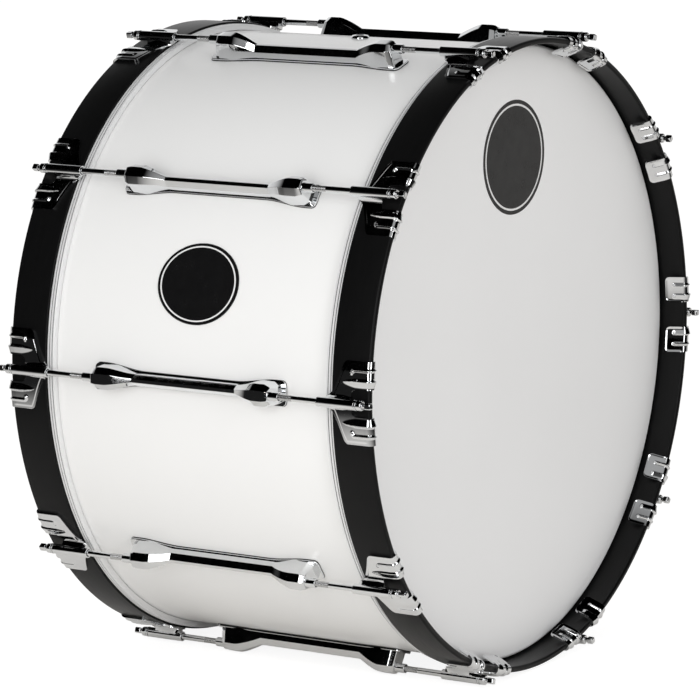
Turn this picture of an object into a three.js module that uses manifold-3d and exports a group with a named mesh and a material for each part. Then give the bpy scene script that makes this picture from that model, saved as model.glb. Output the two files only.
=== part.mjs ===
// Marching bass drum: a white shell lying on its side, a head at each end, and the chrome
// hardware that pulls the heads tight. The drum's axis runs along Y and its front faces -Y.
// All lengths are millimetres. "Out" along the axis is the distance from the drum's middle.
import * as THREE from "three";
import { mergeVertices } from "three/addons/utils/BufferGeometryUtils.js";
import Module from "manifold-3d";

// Drum as a whole
const stationCount = 10; // lugs round the shell, one tension rod at each end of each
const facetCount = 40; // flats on every round ring, one of them centred under each lug
const seatGap = 0.3; // left between two pieces that touch

// Shell
const shellDiameter = 609.6;
const shellDepth = 355.6;
const shellWall = 7.5;
const bearingCrestInset = 3; // from the shell's outside to the crest of its bearing edge
const bearingRoundDepth = 4.8; // how far below the crest the outside starts to round over
const bearingRoundStep = 0.8; // first drop of that rounding, next to the crest
const bearingRoundWidth = 0.7; // width of that first drop

// Heads
const filmThickness = 0.5;
const filmCollarStandOff = 1.5; // between the shell's outside and the film's turned-down edge
const filmCollarDepth = 5; // how far the film bends down before it runs straight
const filmShoulderStandOff = 0.8; // from the shell to the film at the end of that bend
const fleshHoopThickness = 6.2;
const fleshHoopWidth = 8;
const fleshHoopClearance = 0.4; // to the shell's outside
const fleshStepDepth = 6.4; // the film's edge stands in a step this deep

// Wooden counter hoops
const hoopThickness = 6;
const hoopWidth = 41.3;
const hoopToFilm = 0.6;
const hoopRounding = 1.4;
const headRecess = 27.4; // from the hoop's outer edge in to the playing face of the head

// Tension rods
const rodRadius = 3;
const rodStandOff = 9.1; // from the hoop's outside out to the rod's axis
const rodEngagement = 18; // length of thread inside the lug's swivel nut
const washerRadius = 5.2;
const washerThickness = 7.6;
const keyWidth = 6;
const keyLength = 9.4;
const rodSides = 8;

// Claws
const clawThickness = 2;
const clawHalfWidth = 39.5;
const clawShoulderHalfWidth = 36;
const clawNeckHalfWidth = 8.4;
const clawShoulderDistance = 11; // from the hoop's shell-side edge to the end of the slanted flank
const clawCornerDistance = 15.5; // from the same edge to where the wing has its full width
const clawNotchHalfWidth = 13.2;
const clawNotchDepth = 19;
const clawNotchCorner = 6;
const clawFlapLength = 22;
const clawFoldRounding = 1.2;
const clawWebHalfWidth = 4.2;
const tubeRadius = 5;
const tubeBoreClearance = 0.6;
const tubeReach = 9.7; // how far the tube runs on past the hoop towards the lug
const tubeSetback = 9.7; // from the hoop's outer edge back to the tube's outer end
const tubeSides = 8;

// Lugs
const lugLength = 210;
const lugBlockLength = 46;
const lugCrestDistance = 7; // from the end face to the block's highest and widest place
const lugCrestLength = 8; // the flat on top of the block
const lugBlockHeight = 25;
const lugBarHeight = 14.5;
const lugNoseDrop = 5;
const lugBlockHalfWidth = 11.5;
const lugBarHalfWidth = 7;
const lugNoseHalfWidth = 8.6;
const lugBlockTopHalfWidth = 7;
const lugBarTopHalfWidth = 4.8;
const lugNoseTopHalfWidth = 5;
const lugBevelHeight = 5.6;
const lugDraft = 0.6; // how far the flanks lean in from the base to the bevel
const lugWall = 2.4;
const lugPlateThickness = 1.8;
const lugPlateBlockHalfWidth = 12.6;
const lugPlateBarHalfWidth = 7.8;
const lugPlateOverhang = 4.5;
const lugPlateCorner = 5;
const nutRadius = 4.6;
const nutCollarLength = 5;
const nutInsideLength = 24;
const nutBoreClearance = 0.5;
const lugScrewInset = 29; // from the end face in to each mounting screw
const lugScrewRadius = 2.5;
const lugScrewHoleClearance = 0.8;
const lugScrewBossRadius = 4.4;
const lugScrewHeadRadius = 6.5;
const lugScrewHeadHeight = 3.6;
const nutSides = 6;
const boreSides = 8;
const lugScrewSides = 6;

// Vent grommet, on top of the shell between two lugs
const ventOffset = 0; // behind the shell's middle
const ventFlangeRadius = 8.5;
const ventFlangeThickness = 1.6;
const ventBarrelRadius = 6;
const ventBoreRadius = 4.2;
const ventHoleClearance = 0.5;
const ventSides = 12;

// Blank badge, on the shell between the two lugs to the left of the front's middle
const badgeHalfLength = 46;
const badgeHalfHeight = 39.5;
const badgeThickness = 0.8;
const badgeStationCount = 8; // lug spacings clockwise from the top, seen from the front
const badgeSides = 24;

// Finishes
const finishes = {
  shell: { color: 0xf2f2f0, roughness: 0.12, metalness: 0 },
  film: { color: 0xdcdcdc, roughness: 0.45, metalness: 0 },
  hoop: { color: 0x141414, roughness: 0.2, metalness: 0 },
  fleshHoop: { color: 0xc4c6c8, roughness: 0.3, metalness: 1 },
  chrome: { color: 0xd8dadc, roughness: 0.06, metalness: 1 },
  badge: { color: 0x0c0c0c, roughness: 0.15, metalness: 0 },
};

// Sizes that follow from those above
const halfTurn = Math.PI;
const fullTurn = 2 * Math.PI;
const facetAngle = fullTurn / facetCount;
const flatShare = Math.cos(facetAngle / 2); // a ring's flats lie this share of its radius out
const stationAngle = fullTurn / stationCount;
const cutOverrun = 2; // how far every cutting solid runs on past what it cuts

const shellRadius = shellDiameter / 2;
const shellInnerRadius = shellRadius - shellWall;
const shellEnd = shellDepth / 2;
const shellSeat = shellRadius * flatShare; // height of a flat under a lug
const shellInnerSeat = shellInnerRadius * flatShare;
const bearingCrestRadius = shellRadius - bearingCrestInset;

const filmInnerFace = shellEnd + seatGap;
const filmOuterFace = filmInnerFace + filmThickness;
const collarInnerRadius = shellRadius + filmCollarStandOff;
const collarOuterRadius = collarInnerRadius + filmThickness;

const hoopInnerRadius = collarOuterRadius + hoopToFilm;
const hoopOuterRadius = hoopInnerRadius + hoopThickness;
const hoopOuterEdge = filmOuterFace + headRecess;
const hoopInnerEdge = hoopOuterEdge - hoopWidth;

const fleshTop = hoopInnerEdge - seatGap;
const fleshBottom = fleshTop - fleshHoopWidth;
const fleshStep = fleshTop - fleshStepDepth;
const fleshInnerRadius = shellRadius + fleshHoopClearance;
const fleshOuterRadius = fleshInnerRadius + fleshHoopThickness;
const filmEdge = fleshStep + seatGap;

const rodHeight = hoopOuterRadius + rodStandOff; // the rod's axis, from the drum's axis
const tubeInnerEnd = hoopInnerEdge - tubeReach;
const tubeOuterEnd = hoopOuterEdge - tubeSetback;
const washerInnerFace = tubeOuterEnd + seatGap;
const washerOuterFace = washerInnerFace + washerThickness;
const keyEnd = washerOuterFace + keyLength;

const clawPlateInner = hoopOuterRadius + seatGap;
const clawPlateOuter = clawPlateInner + clawThickness;
const clawFoldInner = hoopOuterEdge + seatGap;
const clawFoldOuter = clawFoldInner + clawThickness;
const clawFlapOuter = hoopInnerRadius - seatGap;
const clawFlapInner = clawFlapOuter - clawThickness;
const clawFlapEnd = hoopOuterEdge - clawFlapLength;
const clawNotchBottom = hoopOuterEdge - clawNotchDepth;
const clawPlateSeat = clawPlateInner * flatShare;

const lugHalfLength = lugLength / 2;
const lugBase = shellSeat + seatGap;
const lugFlankStart = lugCrestDistance + lugCrestLength;
const lugScrewPlace = lugHalfLength - lugScrewInset; // from the shell's middle to each screw
const nutEnd = lugHalfLength + nutCollarLength;
const rodTip = nutEnd - rodEngagement;
const lugScrewHeadTop = shellInnerSeat - seatGap;

// The drum stands on the outer faces of the two lowest lugs, which lean by half a station.
const leanAngle = stationAngle / 2;
const lugCrest = lugBase + lugBlockHeight;
const axisHeight = lugCrest * Math.cos(leanAngle) + lugBlockTopHalfWidth * Math.sin(leanAngle);

const wasm = await Module();
wasm.setup();

// A closed geometry as a solid whose faces point out
function solid(geometry) {
  const bare = geometry.index ? geometry.toNonIndexed() : geometry.clone();
  bare.deleteAttribute("normal");
  bare.deleteAttribute("uv");
  const merged = mergeVertices(bare);
  const vertProperties = merged.attributes.position.array;
  const triVerts = new Uint32Array(merged.index.array);
  const made = new wasm.Manifold(new wasm.Mesh({ numProp: 3, vertProperties, triVerts }));
  if (made.volume() > 0) return made;
  const turned = triVerts.slice().reverse();
  return new wasm.Manifold(new wasm.Mesh({ numProp: 3, vertProperties, triVerts: turned }));
}

// A solid's surface as a three.js geometry
function surface(made) {
  const { numProp, vertProperties, triVerts } = made.getMesh();
  const geometry = new THREE.BufferGeometry();
  geometry.setAttribute("position", new THREE.BufferAttribute(vertProperties, numProp));
  geometry.setIndex(new THREE.BufferAttribute(triVerts, 1));
  geometry.computeVertexNormals();
  return geometry;
}

// A ring or disc about the drum's axis, from radius and distance-out pairs, at the front end
function frontRing(pairs) {
  const points = pairs.map(([radius, out]) => new THREE.Vector2(radius, -out));
  return solid(new THREE.LatheGeometry(points, facetCount, facetAngle / 2, fullTurn));
}

// A round bar along the drum's axis, at a height, between two distances out at the front end
function frontBar(radius, sides, height, inner, outer) {
  const bar = new THREE.CylinderGeometry(radius, radius, outer - inner, sides);
  return solid(bar.translate(0, -(inner + outer) / 2, height));
}

// A round post standing on the shell's wall, between two heights
function post(radius, sides, along, bottom, top) {
  const bar = new THREE.CylinderGeometry(radius, radius, top - bottom, sides);
  bar.rotateX(halfTurn / 2);
  return solid(bar.translate(0, along, (bottom + top) / 2));
}

// A block between two corners
function block(low, high) {
  const size = high.clone().sub(low);
  const middle = high.clone().add(low).multiplyScalar(1 / 2);
  const box = new THREE.BoxGeometry(size.x, size.y, size.z);
  return solid(box.translate(middle.x, middle.y, middle.z));
}

// A flat outline, seen from outside the drum, carried between two heights
function prism(shape, bottom, top, curveSegments) {
  const depth = top - bottom;
  const geometry = new THREE.ExtrudeGeometry(shape, { depth, bevelEnabled: false, curveSegments });
  return solid(geometry.translate(0, 0, bottom));
}

// A solid through a row of sections that all have the same number of points
function loft(sections) {
  const count = sections[0].length;
  const corners = sections.flat();
  const triangles = [];
  for (let s = 0; s + 1 < sections.length; s += 1) {
    for (let i = 0; i < count; i += 1) {
      const a = s * count + i;
      const b = s * count + ((i + 1) % count);
      triangles.push(a, b, a + count, b, b + count, a + count);
    }
  }
  const last = corners.length - count;
  for (let i = 1; i + 1 < count; i += 1) {
    triangles.push(0, i + 1, i);
    triangles.push(last, last + i, last + i + 1);
  }
  const geometry = new THREE.BufferGeometry().setFromPoints(corners);
  geometry.setIndex(triangles);
  return solid(geometry);
}

// An outline mirrored in the plane through the drum's axis, from its right half
function mirroredOutline(half) {
  const left = half.map((point) => new THREE.Vector2(-point.x, point.y)).reverse();
  return new THREE.Shape([...half, ...left]);
}

// Cylindrical shell with a bearing edge at each end, and holes for lug screws and vent
function makeShell() {
  const crest = [bearingCrestRadius, shellEnd];
  const nearCrest = [
    bearingCrestRadius + bearingRoundWidth,
    shellEnd - bearingRoundStep,
  ];
  const outside = [shellRadius, shellEnd - bearingRoundDepth];
  const innerCut = [
    shellInnerRadius,
    shellEnd - (bearingCrestRadius - shellInnerRadius),
  ];
  const end = [innerCut, crest, nearCrest, outside];
  const otherEnd = end.map(([radius, out]) => [radius, -out]).reverse();
  let body = frontRing([...end, ...otherEnd, innerCut]);
  const bottom = shellInnerRadius - cutOverrun - shellWall;
  const top = shellRadius + cutOverrun;
  for (let station = 0; station < stationCount; station += 1) {
    for (const side of [-1, 1]) {
      const hole = new THREE.CylinderGeometry(
        lugScrewRadius + lugScrewHoleClearance,
        lugScrewRadius + lugScrewHoleClearance,
        top - bottom,
        lugScrewSides,
      );
      hole.rotateX(halfTurn / 2);
      hole.translate(0, side * lugScrewPlace, (bottom + top) / 2);
      hole.rotateY(stationAngle * station + leanAngle);
      body = body.subtract(solid(hole));
    }
  }
  const ventHole = ventBarrelRadius + ventHoleClearance;
  return body.subtract(post(ventHole, ventSides, ventOffset, bottom, top));
}

// Head film: a flat playing face whose edge turns down over the shell into the flesh hoop
function makeFilm() {
  const bend = filmOuterFace - filmCollarDepth;
  const shoulder = shellRadius + filmShoulderStandOff;
  const crest = bearingCrestRadius + filmThickness / 2;
  return frontRing([
    [0, filmInnerFace],
    [crest, filmInnerFace],
    [shoulder, bend],
    [collarInnerRadius, fleshTop],
    [collarInnerRadius, filmEdge],
    [collarOuterRadius, filmEdge],
    [collarOuterRadius, fleshTop],
    [shoulder + filmThickness, bend],
    [crest + filmThickness / 2, filmOuterFace],
    [0, filmOuterFace],
  ]);
}

// Flesh hoop: an aluminium ring with a step that the film's edge is bonded into
function makeFleshHoop() {
  const stepRadius = collarOuterRadius + seatGap;
  return frontRing([
    [fleshInnerRadius, fleshBottom],
    [fleshOuterRadius, fleshBottom],
    [fleshOuterRadius, fleshTop],
    [stepRadius, fleshTop],
    [stepRadius, fleshStep],
    [fleshInnerRadius, fleshStep],
    [fleshInnerRadius, fleshBottom],
  ]);
}

// Wooden counter hoop with eased edges on its outer end
function makeHoop() {
  const eased = hoopOuterEdge - hoopRounding;
  return frontRing([
    [hoopInnerRadius, hoopInnerEdge],
    [hoopOuterRadius, hoopInnerEdge],
    [hoopOuterRadius, eased],
    [hoopOuterRadius - hoopRounding, hoopOuterEdge],
    [hoopInnerRadius + hoopRounding, hoopOuterEdge],
    [hoopInnerRadius, eased],
    [hoopInnerRadius, hoopInnerEdge],
  ]);
}

// Tension rod with its collar washer and square key head, in the front's topmost place
function makeRod() {
  const shaft = frontBar(rodRadius, rodSides, rodHeight, rodTip, washerInnerFace + seatGap);
  const washer = frontBar(washerRadius, tubeSides, rodHeight, washerInnerFace, washerOuterFace);
  const half = keyWidth / 2;
  const low = new THREE.Vector3(-half, -keyEnd, rodHeight - half);
  const high = new THREE.Vector3(half, -washerOuterFace + seatGap, rodHeight + half);
  return shaft.add(washer).add(block(low, high));
}

// Outline of a claw seen from outside: two wings with a notch round the rod's head
function clawOutline() {
  const start = -(hoopInnerEdge + seatGap);
  const end = -(clawFoldOuter + cutOverrun);
  const notch = -clawNotchBottom;
  return mirroredOutline([
    new THREE.Vector2(clawNeckHalfWidth, start),
    new THREE.Vector2(clawShoulderHalfWidth, -(hoopInnerEdge + clawShoulderDistance)),
    new THREE.Vector2(clawHalfWidth, -(hoopInnerEdge + clawCornerDistance)),
    new THREE.Vector2(clawHalfWidth, end),
    new THREE.Vector2(clawNotchHalfWidth, end),
    new THREE.Vector2(clawNotchHalfWidth, notch - clawNotchCorner),
    new THREE.Vector2(clawNotchHalfWidth - clawNotchCorner, notch),
  ]);
}

// Outline of one flap inside the hoop
function flapOutline(side) {
  const far = side * clawHalfWidth;
  const near = side * clawNotchHalfWidth;
  const end = -(clawFoldOuter + cutOverrun);
  const tip = -(clawFlapEnd - cutOverrun);
  return new THREE.Shape([
    new THREE.Vector2(near, end),
    new THREE.Vector2(near, tip),
    new THREE.Vector2(far, tip),
    new THREE.Vector2(far, end),
  ]);
}

// Double claw: a tube for the rod, two wings over the hoop and two flaps inside it
function makeClaw() {
  const round = clawFoldRounding;
  const hook = frontRing([
    [clawPlateInner, hoopInnerEdge],
    [clawPlateOuter, hoopInnerEdge],
    [clawPlateOuter, clawFoldOuter - round],
    [clawPlateOuter - round, clawFoldOuter],
    [clawFlapInner + round, clawFoldOuter],
    [clawFlapInner, clawFoldOuter - round],
    [clawFlapInner, clawFlapEnd],
    [clawFlapOuter, clawFlapEnd],
    [clawFlapOuter, clawFoldInner],
    [clawPlateInner, clawFoldInner],
    [clawPlateInner, hoopInnerEdge],
  ]);
  const halfway = (hoopOuterRadius + hoopInnerRadius) / 2;
  const below = clawFlapInner * flatShare - shellWall;
  const above = clawPlateOuter + cutOverrun;
  const wings = hook.intersect(prism(clawOutline(), halfway, above));
  const leftFlap = hook.intersect(prism(flapOutline(-1), below, halfway));
  const rightFlap = hook.intersect(prism(flapOutline(1), below, halfway));
  const webLow = new THREE.Vector3(-clawWebHalfWidth, -clawNotchBottom, clawPlateSeat);
  const webHigh = new THREE.Vector3(clawWebHalfWidth, -(hoopInnerEdge + seatGap), rodHeight);
  let claw = wings.add(leftFlap).add(rightFlap).add(block(webLow, webHigh));
  claw = claw.add(frontBar(tubeRadius, tubeSides, rodHeight, tubeInnerEnd, tubeOuterEnd));
  const bore = rodRadius + tubeBoreClearance;
  const boreInner = tubeInnerEnd - cutOverrun;
  const boreOuter = tubeOuterEnd + cutOverrun;
  return claw.subtract(frontBar(bore, tubeSides, rodHeight, boreInner, boreOuter));
}

// A value that goes from one size to another as a share runs from 0 to 1
function between(from, to, share) {
  return from + (to - from) * share;
}

// Distances from a lug's end face at which its sections stand
function lugStations() {
  const noseShares = [0, 0.4, 1];
  const flankShares = [0, 0.45, 0.75, 1];
  const nose = noseShares.map((share) => between(0, lugCrestDistance, share));
  const flank = flankShares.map((share) => between(lugFlankStart, lugBlockLength, share));
  return [...nose, ...flank];
}

// A lug's height and half widths at a distance from its end face
function lugSize(distance) {
  if (distance <= lugCrestDistance) {
    const share = distance / lugCrestDistance;
    return {
      height: lugBlockHeight - lugNoseDrop * (1 - share) ** 2,
      base: between(lugNoseHalfWidth, lugBlockHalfWidth, share),
      top: between(lugNoseTopHalfWidth, lugBlockTopHalfWidth, share),
    };
  }
  const along = Math.min(Math.max(distance, lugFlankStart), lugBlockLength);
  const share = (along - lugFlankStart) / (lugBlockLength - lugFlankStart);
  return {
    height: between(lugBlockHeight, lugBarHeight, share ** 2),
    base: between(lugBlockHalfWidth, lugBarHalfWidth, share),
    top: between(lugBlockTopHalfWidth, lugBarTopHalfWidth, share),
  };
}

// One section across a lug, standing on its base
function lugSection(along, size) {
  const shoulder = size.height - lugBevelHeight;
  const half = [
    [size.base, 0],
    [size.base - lugDraft, shoulder],
    [size.top, size.height],
  ];
  const mirrored = half.map(([x, z]) => [-x, z]).reverse();
  return [...half, ...mirrored].map(([x, z]) => new THREE.Vector3(x, along, lugBase + z));
}

// One section across the hollow inside a lug, open towards the shell
function lugHollowSection(along, size) {
  const top = lugBase + size.height - lugWall;
  const bottom = lugBase - cutOverrun;
  return [
    new THREE.Vector3(size.top, along, bottom),
    new THREE.Vector3(size.top, along, top),
    new THREE.Vector3(-size.top, along, top),
    new THREE.Vector3(-size.top, along, bottom),
  ];
}

// Base plate of a lug: broad under the two blocks, narrow under the bar between them
function lugPlateOutline() {
  const end = lugHalfLength + lugPlateOverhang;
  const broadEnd = lugHalfLength - lugCrestDistance;
  const narrowEnd = lugHalfLength - lugBlockLength;
  const half = [
    new THREE.Vector2(lugPlateBarHalfWidth, 0),
    new THREE.Vector2(lugPlateBarHalfWidth, narrowEnd),
    new THREE.Vector2(lugPlateBlockHalfWidth, broadEnd),
    new THREE.Vector2(lugPlateBlockHalfWidth, end - lugPlateCorner),
    new THREE.Vector2(lugPlateBlockHalfWidth - lugPlateCorner, end),
  ];
  const other = half.slice(1).map((point) => new THREE.Vector2(point.x, -point.y)).reverse();
  return mirroredOutline([...other, ...half]);
}

// Lug: a hollow casting with a nut in each end, screwed to the shell from inside
function makeLug() {
  const stations = lugStations();
  const rows = [];
  for (const distance of stations) rows.push([distance - lugHalfLength, lugSize(distance)]);
  for (const distance of [...stations].reverse()) {
    rows.push([lugHalfLength - distance, lugSize(distance)]);
  }
  const plateTop = lugBase + lugPlateThickness;
  let lug = loft(rows.map(([along, size]) => lugSection(along, size)));
  lug = lug.add(prism(lugPlateOutline(), lugBase, plateTop));
  const deep = lugHalfLength - lugCrestDistance;
  const shallow = lugHalfLength - lugBlockLength;
  const hollow = [
    lugHollowSection(-deep, lugSize(lugCrestDistance)),
    lugHollowSection(-shallow, lugSize(lugBlockLength)),
    lugHollowSection(shallow, lugSize(lugBlockLength)),
    lugHollowSection(deep, lugSize(lugCrestDistance)),
  ];
  lug = lug.subtract(loft(hollow));
  const nutInner = lugHalfLength - nutInsideLength;
  const bore = rodRadius + nutBoreClearance;
  const boreInner = rodTip - cutOverrun;
  const turned = new THREE.Matrix4().makeRotationZ(halfTurn);
  const roof = lugSize(lugScrewInset).height;
  const bossTop = lugBase + roof - lugWall / 2;
  for (const side of [-1, 1]) {
    const along = side * lugScrewPlace;
    const headBottom = lugScrewHeadTop - lugScrewHeadHeight;
    lug = lug
      .add(post(lugScrewBossRadius, lugScrewSides, along, lugBase, bossTop))
      .add(post(lugScrewRadius, lugScrewSides, along, headBottom, lugBase + seatGap))
      .add(post(lugScrewHeadRadius, lugScrewSides, along, headBottom, lugScrewHeadTop));
  }
  for (let turn = 0; turn < 2; turn += 1) {
    lug = lug
      .add(frontBar(nutRadius, nutSides, rodHeight, nutInner, nutEnd))
      .subtract(frontBar(bore, boreSides, rodHeight, boreInner, nutEnd + cutOverrun))
      .transform(turned.elements);
  }
  return lug;
}

// Vent grommet: a flanged tube through the top of the shell
function makeVent() {
  const outerSeat = shellSeat + seatGap;
  const innerSeat = shellInnerSeat - seatGap;
  const flangeEdge = ventFlangeThickness / 2;
  const profile = [
    [ventBoreRadius, innerSeat - ventFlangeThickness],
    [ventFlangeRadius, innerSeat - flangeEdge],
    [ventFlangeRadius, innerSeat],
    [ventBarrelRadius, innerSeat],
    [ventBarrelRadius, outerSeat],
    [ventFlangeRadius, outerSeat],
    [ventFlangeRadius, outerSeat + flangeEdge],
    [ventBarrelRadius, outerSeat + ventFlangeThickness],
    [ventBoreRadius, outerSeat + ventFlangeThickness],
    [ventBoreRadius, innerSeat - ventFlangeThickness],
  ];
  const points = profile.map(([radius, height]) => new THREE.Vector2(radius, height));
  const ring = new THREE.LatheGeometry(points, ventSides);
  ring.rotateX(halfTurn / 2);
  return solid(ring.translate(0, ventOffset, 0));
}

// Blank oval badge that follows the shell's curve
function makeBadge() {
  const inner = shellRadius + seatGap;
  const outer = inner + badgeThickness;
  const band = frontRing([
    [inner, -badgeHalfLength - cutOverrun],
    [outer, -badgeHalfLength - cutOverrun],
    [outer, badgeHalfLength + cutOverrun],
    [inner, badgeHalfLength + cutOverrun],
    [inner, -badgeHalfLength - cutOverrun],
  ]);
  const oval = new THREE.Shape();
  oval.absellipse(0, 0, badgeHalfHeight, badgeHalfLength, 0, fullTurn);
  const bottom = inner - shellWall - cutOverrun;
  return band.intersect(prism(oval, bottom, outer + cutOverrun, badgeSides / 2));
}

// A named mesh with a finish of its own
function piece(name, geometry, finish) {
  const mesh = new THREE.Mesh(geometry, new THREE.MeshStandardMaterial(finish));
  mesh.name = name;
  return mesh;
}

// A group turned about the drum's axis, clockwise seen from the front, from the top
function station(angle) {
  const group = new THREE.Group();
  group.rotation.y = angle;
  return group;
}

const drum = new THREE.Group();
drum.position.z = axisHeight;

drum.add(piece("shell", surface(makeShell()), finishes.shell));
drum.add(piece("vent_grommet", surface(makeVent()), finishes.chrome));

const badgeGroup = station(badgeStationCount * stationAngle);
badgeGroup.add(piece("shell_badge", surface(makeBadge()), finishes.badge));
drum.add(badgeGroup);

const filmSurface = surface(makeFilm());
const fleshHoopSurface = surface(makeFleshHoop());
const hoopSurface = surface(makeHoop());
const rodSurface = surface(makeRod());
const clawSurface = surface(makeClaw());
const lugSurface = surface(makeLug());

const ends = [["front", 0], ["rear", halfTurn]];
for (const [end, turn] of ends) {
  const group = new THREE.Group();
  group.rotation.z = turn;
  group.add(piece(`${end}_head_film`, filmSurface, finishes.film));
  group.add(piece(`${end}_flesh_hoop`, fleshHoopSurface, finishes.fleshHoop));
  group.add(piece(`${end}_hoop`, hoopSurface, finishes.hoop));
  drum.add(group);
}

for (let index = 0; index < stationCount; index += 1) {
  const number = String(index + 1).padStart(2, "0");
  const place = station(leanAngle + index * stationAngle);
  place.add(piece(`lug_${number}`, lugSurface, finishes.chrome));
  for (const [end, turn] of ends) {
    const group = new THREE.Group();
    group.rotation.z = turn;
    group.add(piece(`${end}_claw_${number}`, clawSurface, finishes.chrome));
    group.add(piece(`${end}_rod_${number}`, rodSurface, finishes.chrome));
    place.add(group);
  }
  drum.add(place);
}

export default drum;
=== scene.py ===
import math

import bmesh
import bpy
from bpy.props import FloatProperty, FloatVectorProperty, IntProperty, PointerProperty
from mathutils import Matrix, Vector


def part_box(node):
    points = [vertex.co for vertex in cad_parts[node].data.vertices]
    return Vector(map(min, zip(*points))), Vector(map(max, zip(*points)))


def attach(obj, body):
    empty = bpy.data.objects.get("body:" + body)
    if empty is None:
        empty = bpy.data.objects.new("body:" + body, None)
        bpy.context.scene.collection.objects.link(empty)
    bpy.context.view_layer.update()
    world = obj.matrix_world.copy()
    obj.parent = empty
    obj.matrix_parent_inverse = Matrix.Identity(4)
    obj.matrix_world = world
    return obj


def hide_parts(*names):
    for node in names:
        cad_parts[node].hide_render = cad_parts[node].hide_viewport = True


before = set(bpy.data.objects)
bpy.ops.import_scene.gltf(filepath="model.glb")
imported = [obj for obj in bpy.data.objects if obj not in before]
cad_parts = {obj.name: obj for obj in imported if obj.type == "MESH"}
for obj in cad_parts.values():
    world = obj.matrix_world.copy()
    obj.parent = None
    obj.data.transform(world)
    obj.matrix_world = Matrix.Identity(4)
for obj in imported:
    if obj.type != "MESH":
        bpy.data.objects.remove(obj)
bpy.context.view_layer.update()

# Marching bass drum: a fine mesh and a finish for every piece of the frame, and a stage.
#
# The drum's axis runs along Y and its front faces -Y. "Out" is a distance from the drum's middle
# along the axis, and a height is a distance from the axis. A lug, a claw and a rod are each made
# once, straight above the axis at the front end, and copies are turned to their places.

bl_info = {
    "name": "Marching Bass Drum",
    "version": (1, 0, 0),
    "blender": (4, 5, 0),
    "location": "View3D > Sidebar > Drum",
    "description": "Makes the pieces of a marching bass drum around its frame",
    "category": "Add Mesh",
}

MM = 0.001
QUARTER_TURN = math.pi / 2
HALF_TURN = math.pi
FULL_TURN = 2 * math.pi

# Vertices closer than this become one
SEAM = 0.001 * MM

# Segments round the small round forms
VENT_SIDES = 64
TUBE_SIDES = 32
SCREW_SIDES = 24
SMALL_SIDES = 16

# Places and sizes that the frame gives. Its round solids have flats, so a ring's box is a little
# smaller than the ring.
FLATS = 40
FLAT_SHARE = math.cos(HALF_TURN / FLATS)
LUG_COUNT = 10
LUG_SPACING = FULL_TURN / LUG_COUNT
SIDE_LUG = "lug_03"
SIDE_ROD = "front_rod_03"
SIDE_CLAW = "front_claw_03"


def ring_radius(node):
    """Radius of a round solid about the drum's axis."""
    low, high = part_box(node)
    return (high.x - low.x) / 2 / FLAT_SHARE


def reach(node):
    """How far out a front solid starts and ends."""
    low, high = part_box(node)
    return -high.y, -low.y


AXIS_HEIGHT = sum(corner.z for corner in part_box("shell")) / 2
SHELL_RADIUS = ring_radius("shell")
SHELL_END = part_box("shell")[1].y
FILM_RADIUS = ring_radius("front_head_film")
FILM_EDGE, FILM_FACE = reach("front_head_film")
FLESH_RADIUS = ring_radius("front_flesh_hoop")
FLESH_INNER_EDGE, FLESH_OUTER_EDGE = reach("front_flesh_hoop")
HOOP_RADIUS = ring_radius("front_hoop")
HOOP_INNER_EDGE, HOOP_OUTER_EDGE = reach("front_hoop")
ROD_HEIGHT = sum(corner.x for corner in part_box(SIDE_ROD)) / 2
ROD_TIP, KEY_END = reach(SIDE_ROD)
TUBE_INNER_END, FOLD_OUT = reach(SIDE_CLAW)
CLAW_HALF_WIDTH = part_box(SIDE_CLAW)[1].z - AXIS_HEIGHT
NUT_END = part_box(SIDE_LUG)[1].y
LUG_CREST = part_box(SIDE_LUG)[1].x
VENT_PLACE = sum(corner.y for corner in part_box("vent_grommet")) / 2
BADGE_HALF_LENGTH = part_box("shell_badge")[1].y


# Properties

def length(name, description, millimetres):
    """A length, given here in millimetres and kept in metres."""
    return FloatProperty(
        name=name,
        description=description,
        default=millimetres * MM,
        unit="LENGTH",
        subtype="DISTANCE",
        precision=4,
    )


def turn(name, description, degrees):
    """An angle, given here in degrees."""
    return FloatProperty(
        name=name, description=description, default=math.radians(degrees), subtype="ANGLE"
    )


def share(name, description, value):
    """A share of something, from 0 to 1."""
    return FloatProperty(
        name=name, description=description, default=value, min=0, max=1, subtype="FACTOR"
    )


def linear(value):
    """One channel of a colour as light, from its value on the screen."""
    if value <= 0.04045:
        return value / 12.92
    return ((value + 0.055) / 1.055) ** 2.4


def colour(name, description, red, green, blue):
    """A colour, given here as it shows on the screen."""
    return FloatVectorProperty(
        name=name,
        description=description,
        default=(linear(red), linear(green), linear(blue)),
        size=3,
        min=0,
        max=1,
        subtype="COLOR",
    )


def steps(name, description, value):
    """A number of steps in a round form."""
    return IntProperty(name=name, description=description, default=value, min=3, max=512)


class DrumShellSettings(bpy.types.PropertyGroup):
    """The wooden shell and its vent."""

    wall: length("Wall", "Thickness of the shell's wall", 7.5)
    crest_inset: length("Crest inset", "From the outside in to the crest of the bearing edge", 3)
    round_depth: length("Rounding depth", "Where the outside starts to round over", 4.8)
    segments: steps("Segments", "Segments round the shell, heads and hoops", 240)
    finish: colour("Finish", "Gloss white outside", 0.945, 0.945, 0.942)
    veneer: colour("Veneer", "Bare wood inside", 0.80, 0.66, 0.47)
    vent_flange: length("Vent flange", "Radius of the vent's flange", 9.3)
    vent_rise: length("Vent rise", "How far the flange stands above the shell", 3)
    vent_round: length("Vent rounding", "Rounding of the flange's outer edge", 2.9)
    vent_inner_round: length("Vent inner rounding", "Rounding of the flange's inner edge", 2.03)
    vent_beside: length("Beside the vent", "From the vent to the shell's next vertices", 14.88)
    vent_lip: length("Vent lip", "Thickness of the flange inside the shell", 1.6)
    vent_barrel: length("Vent barrel", "Radius of the vent's tube", 6)
    vent_bore: length("Vent bore", "Radius of the vent's hole", 4.2)
    hole_gap: length("Hole gap", "Clearance round what passes through the shell", 0.5)


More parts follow.
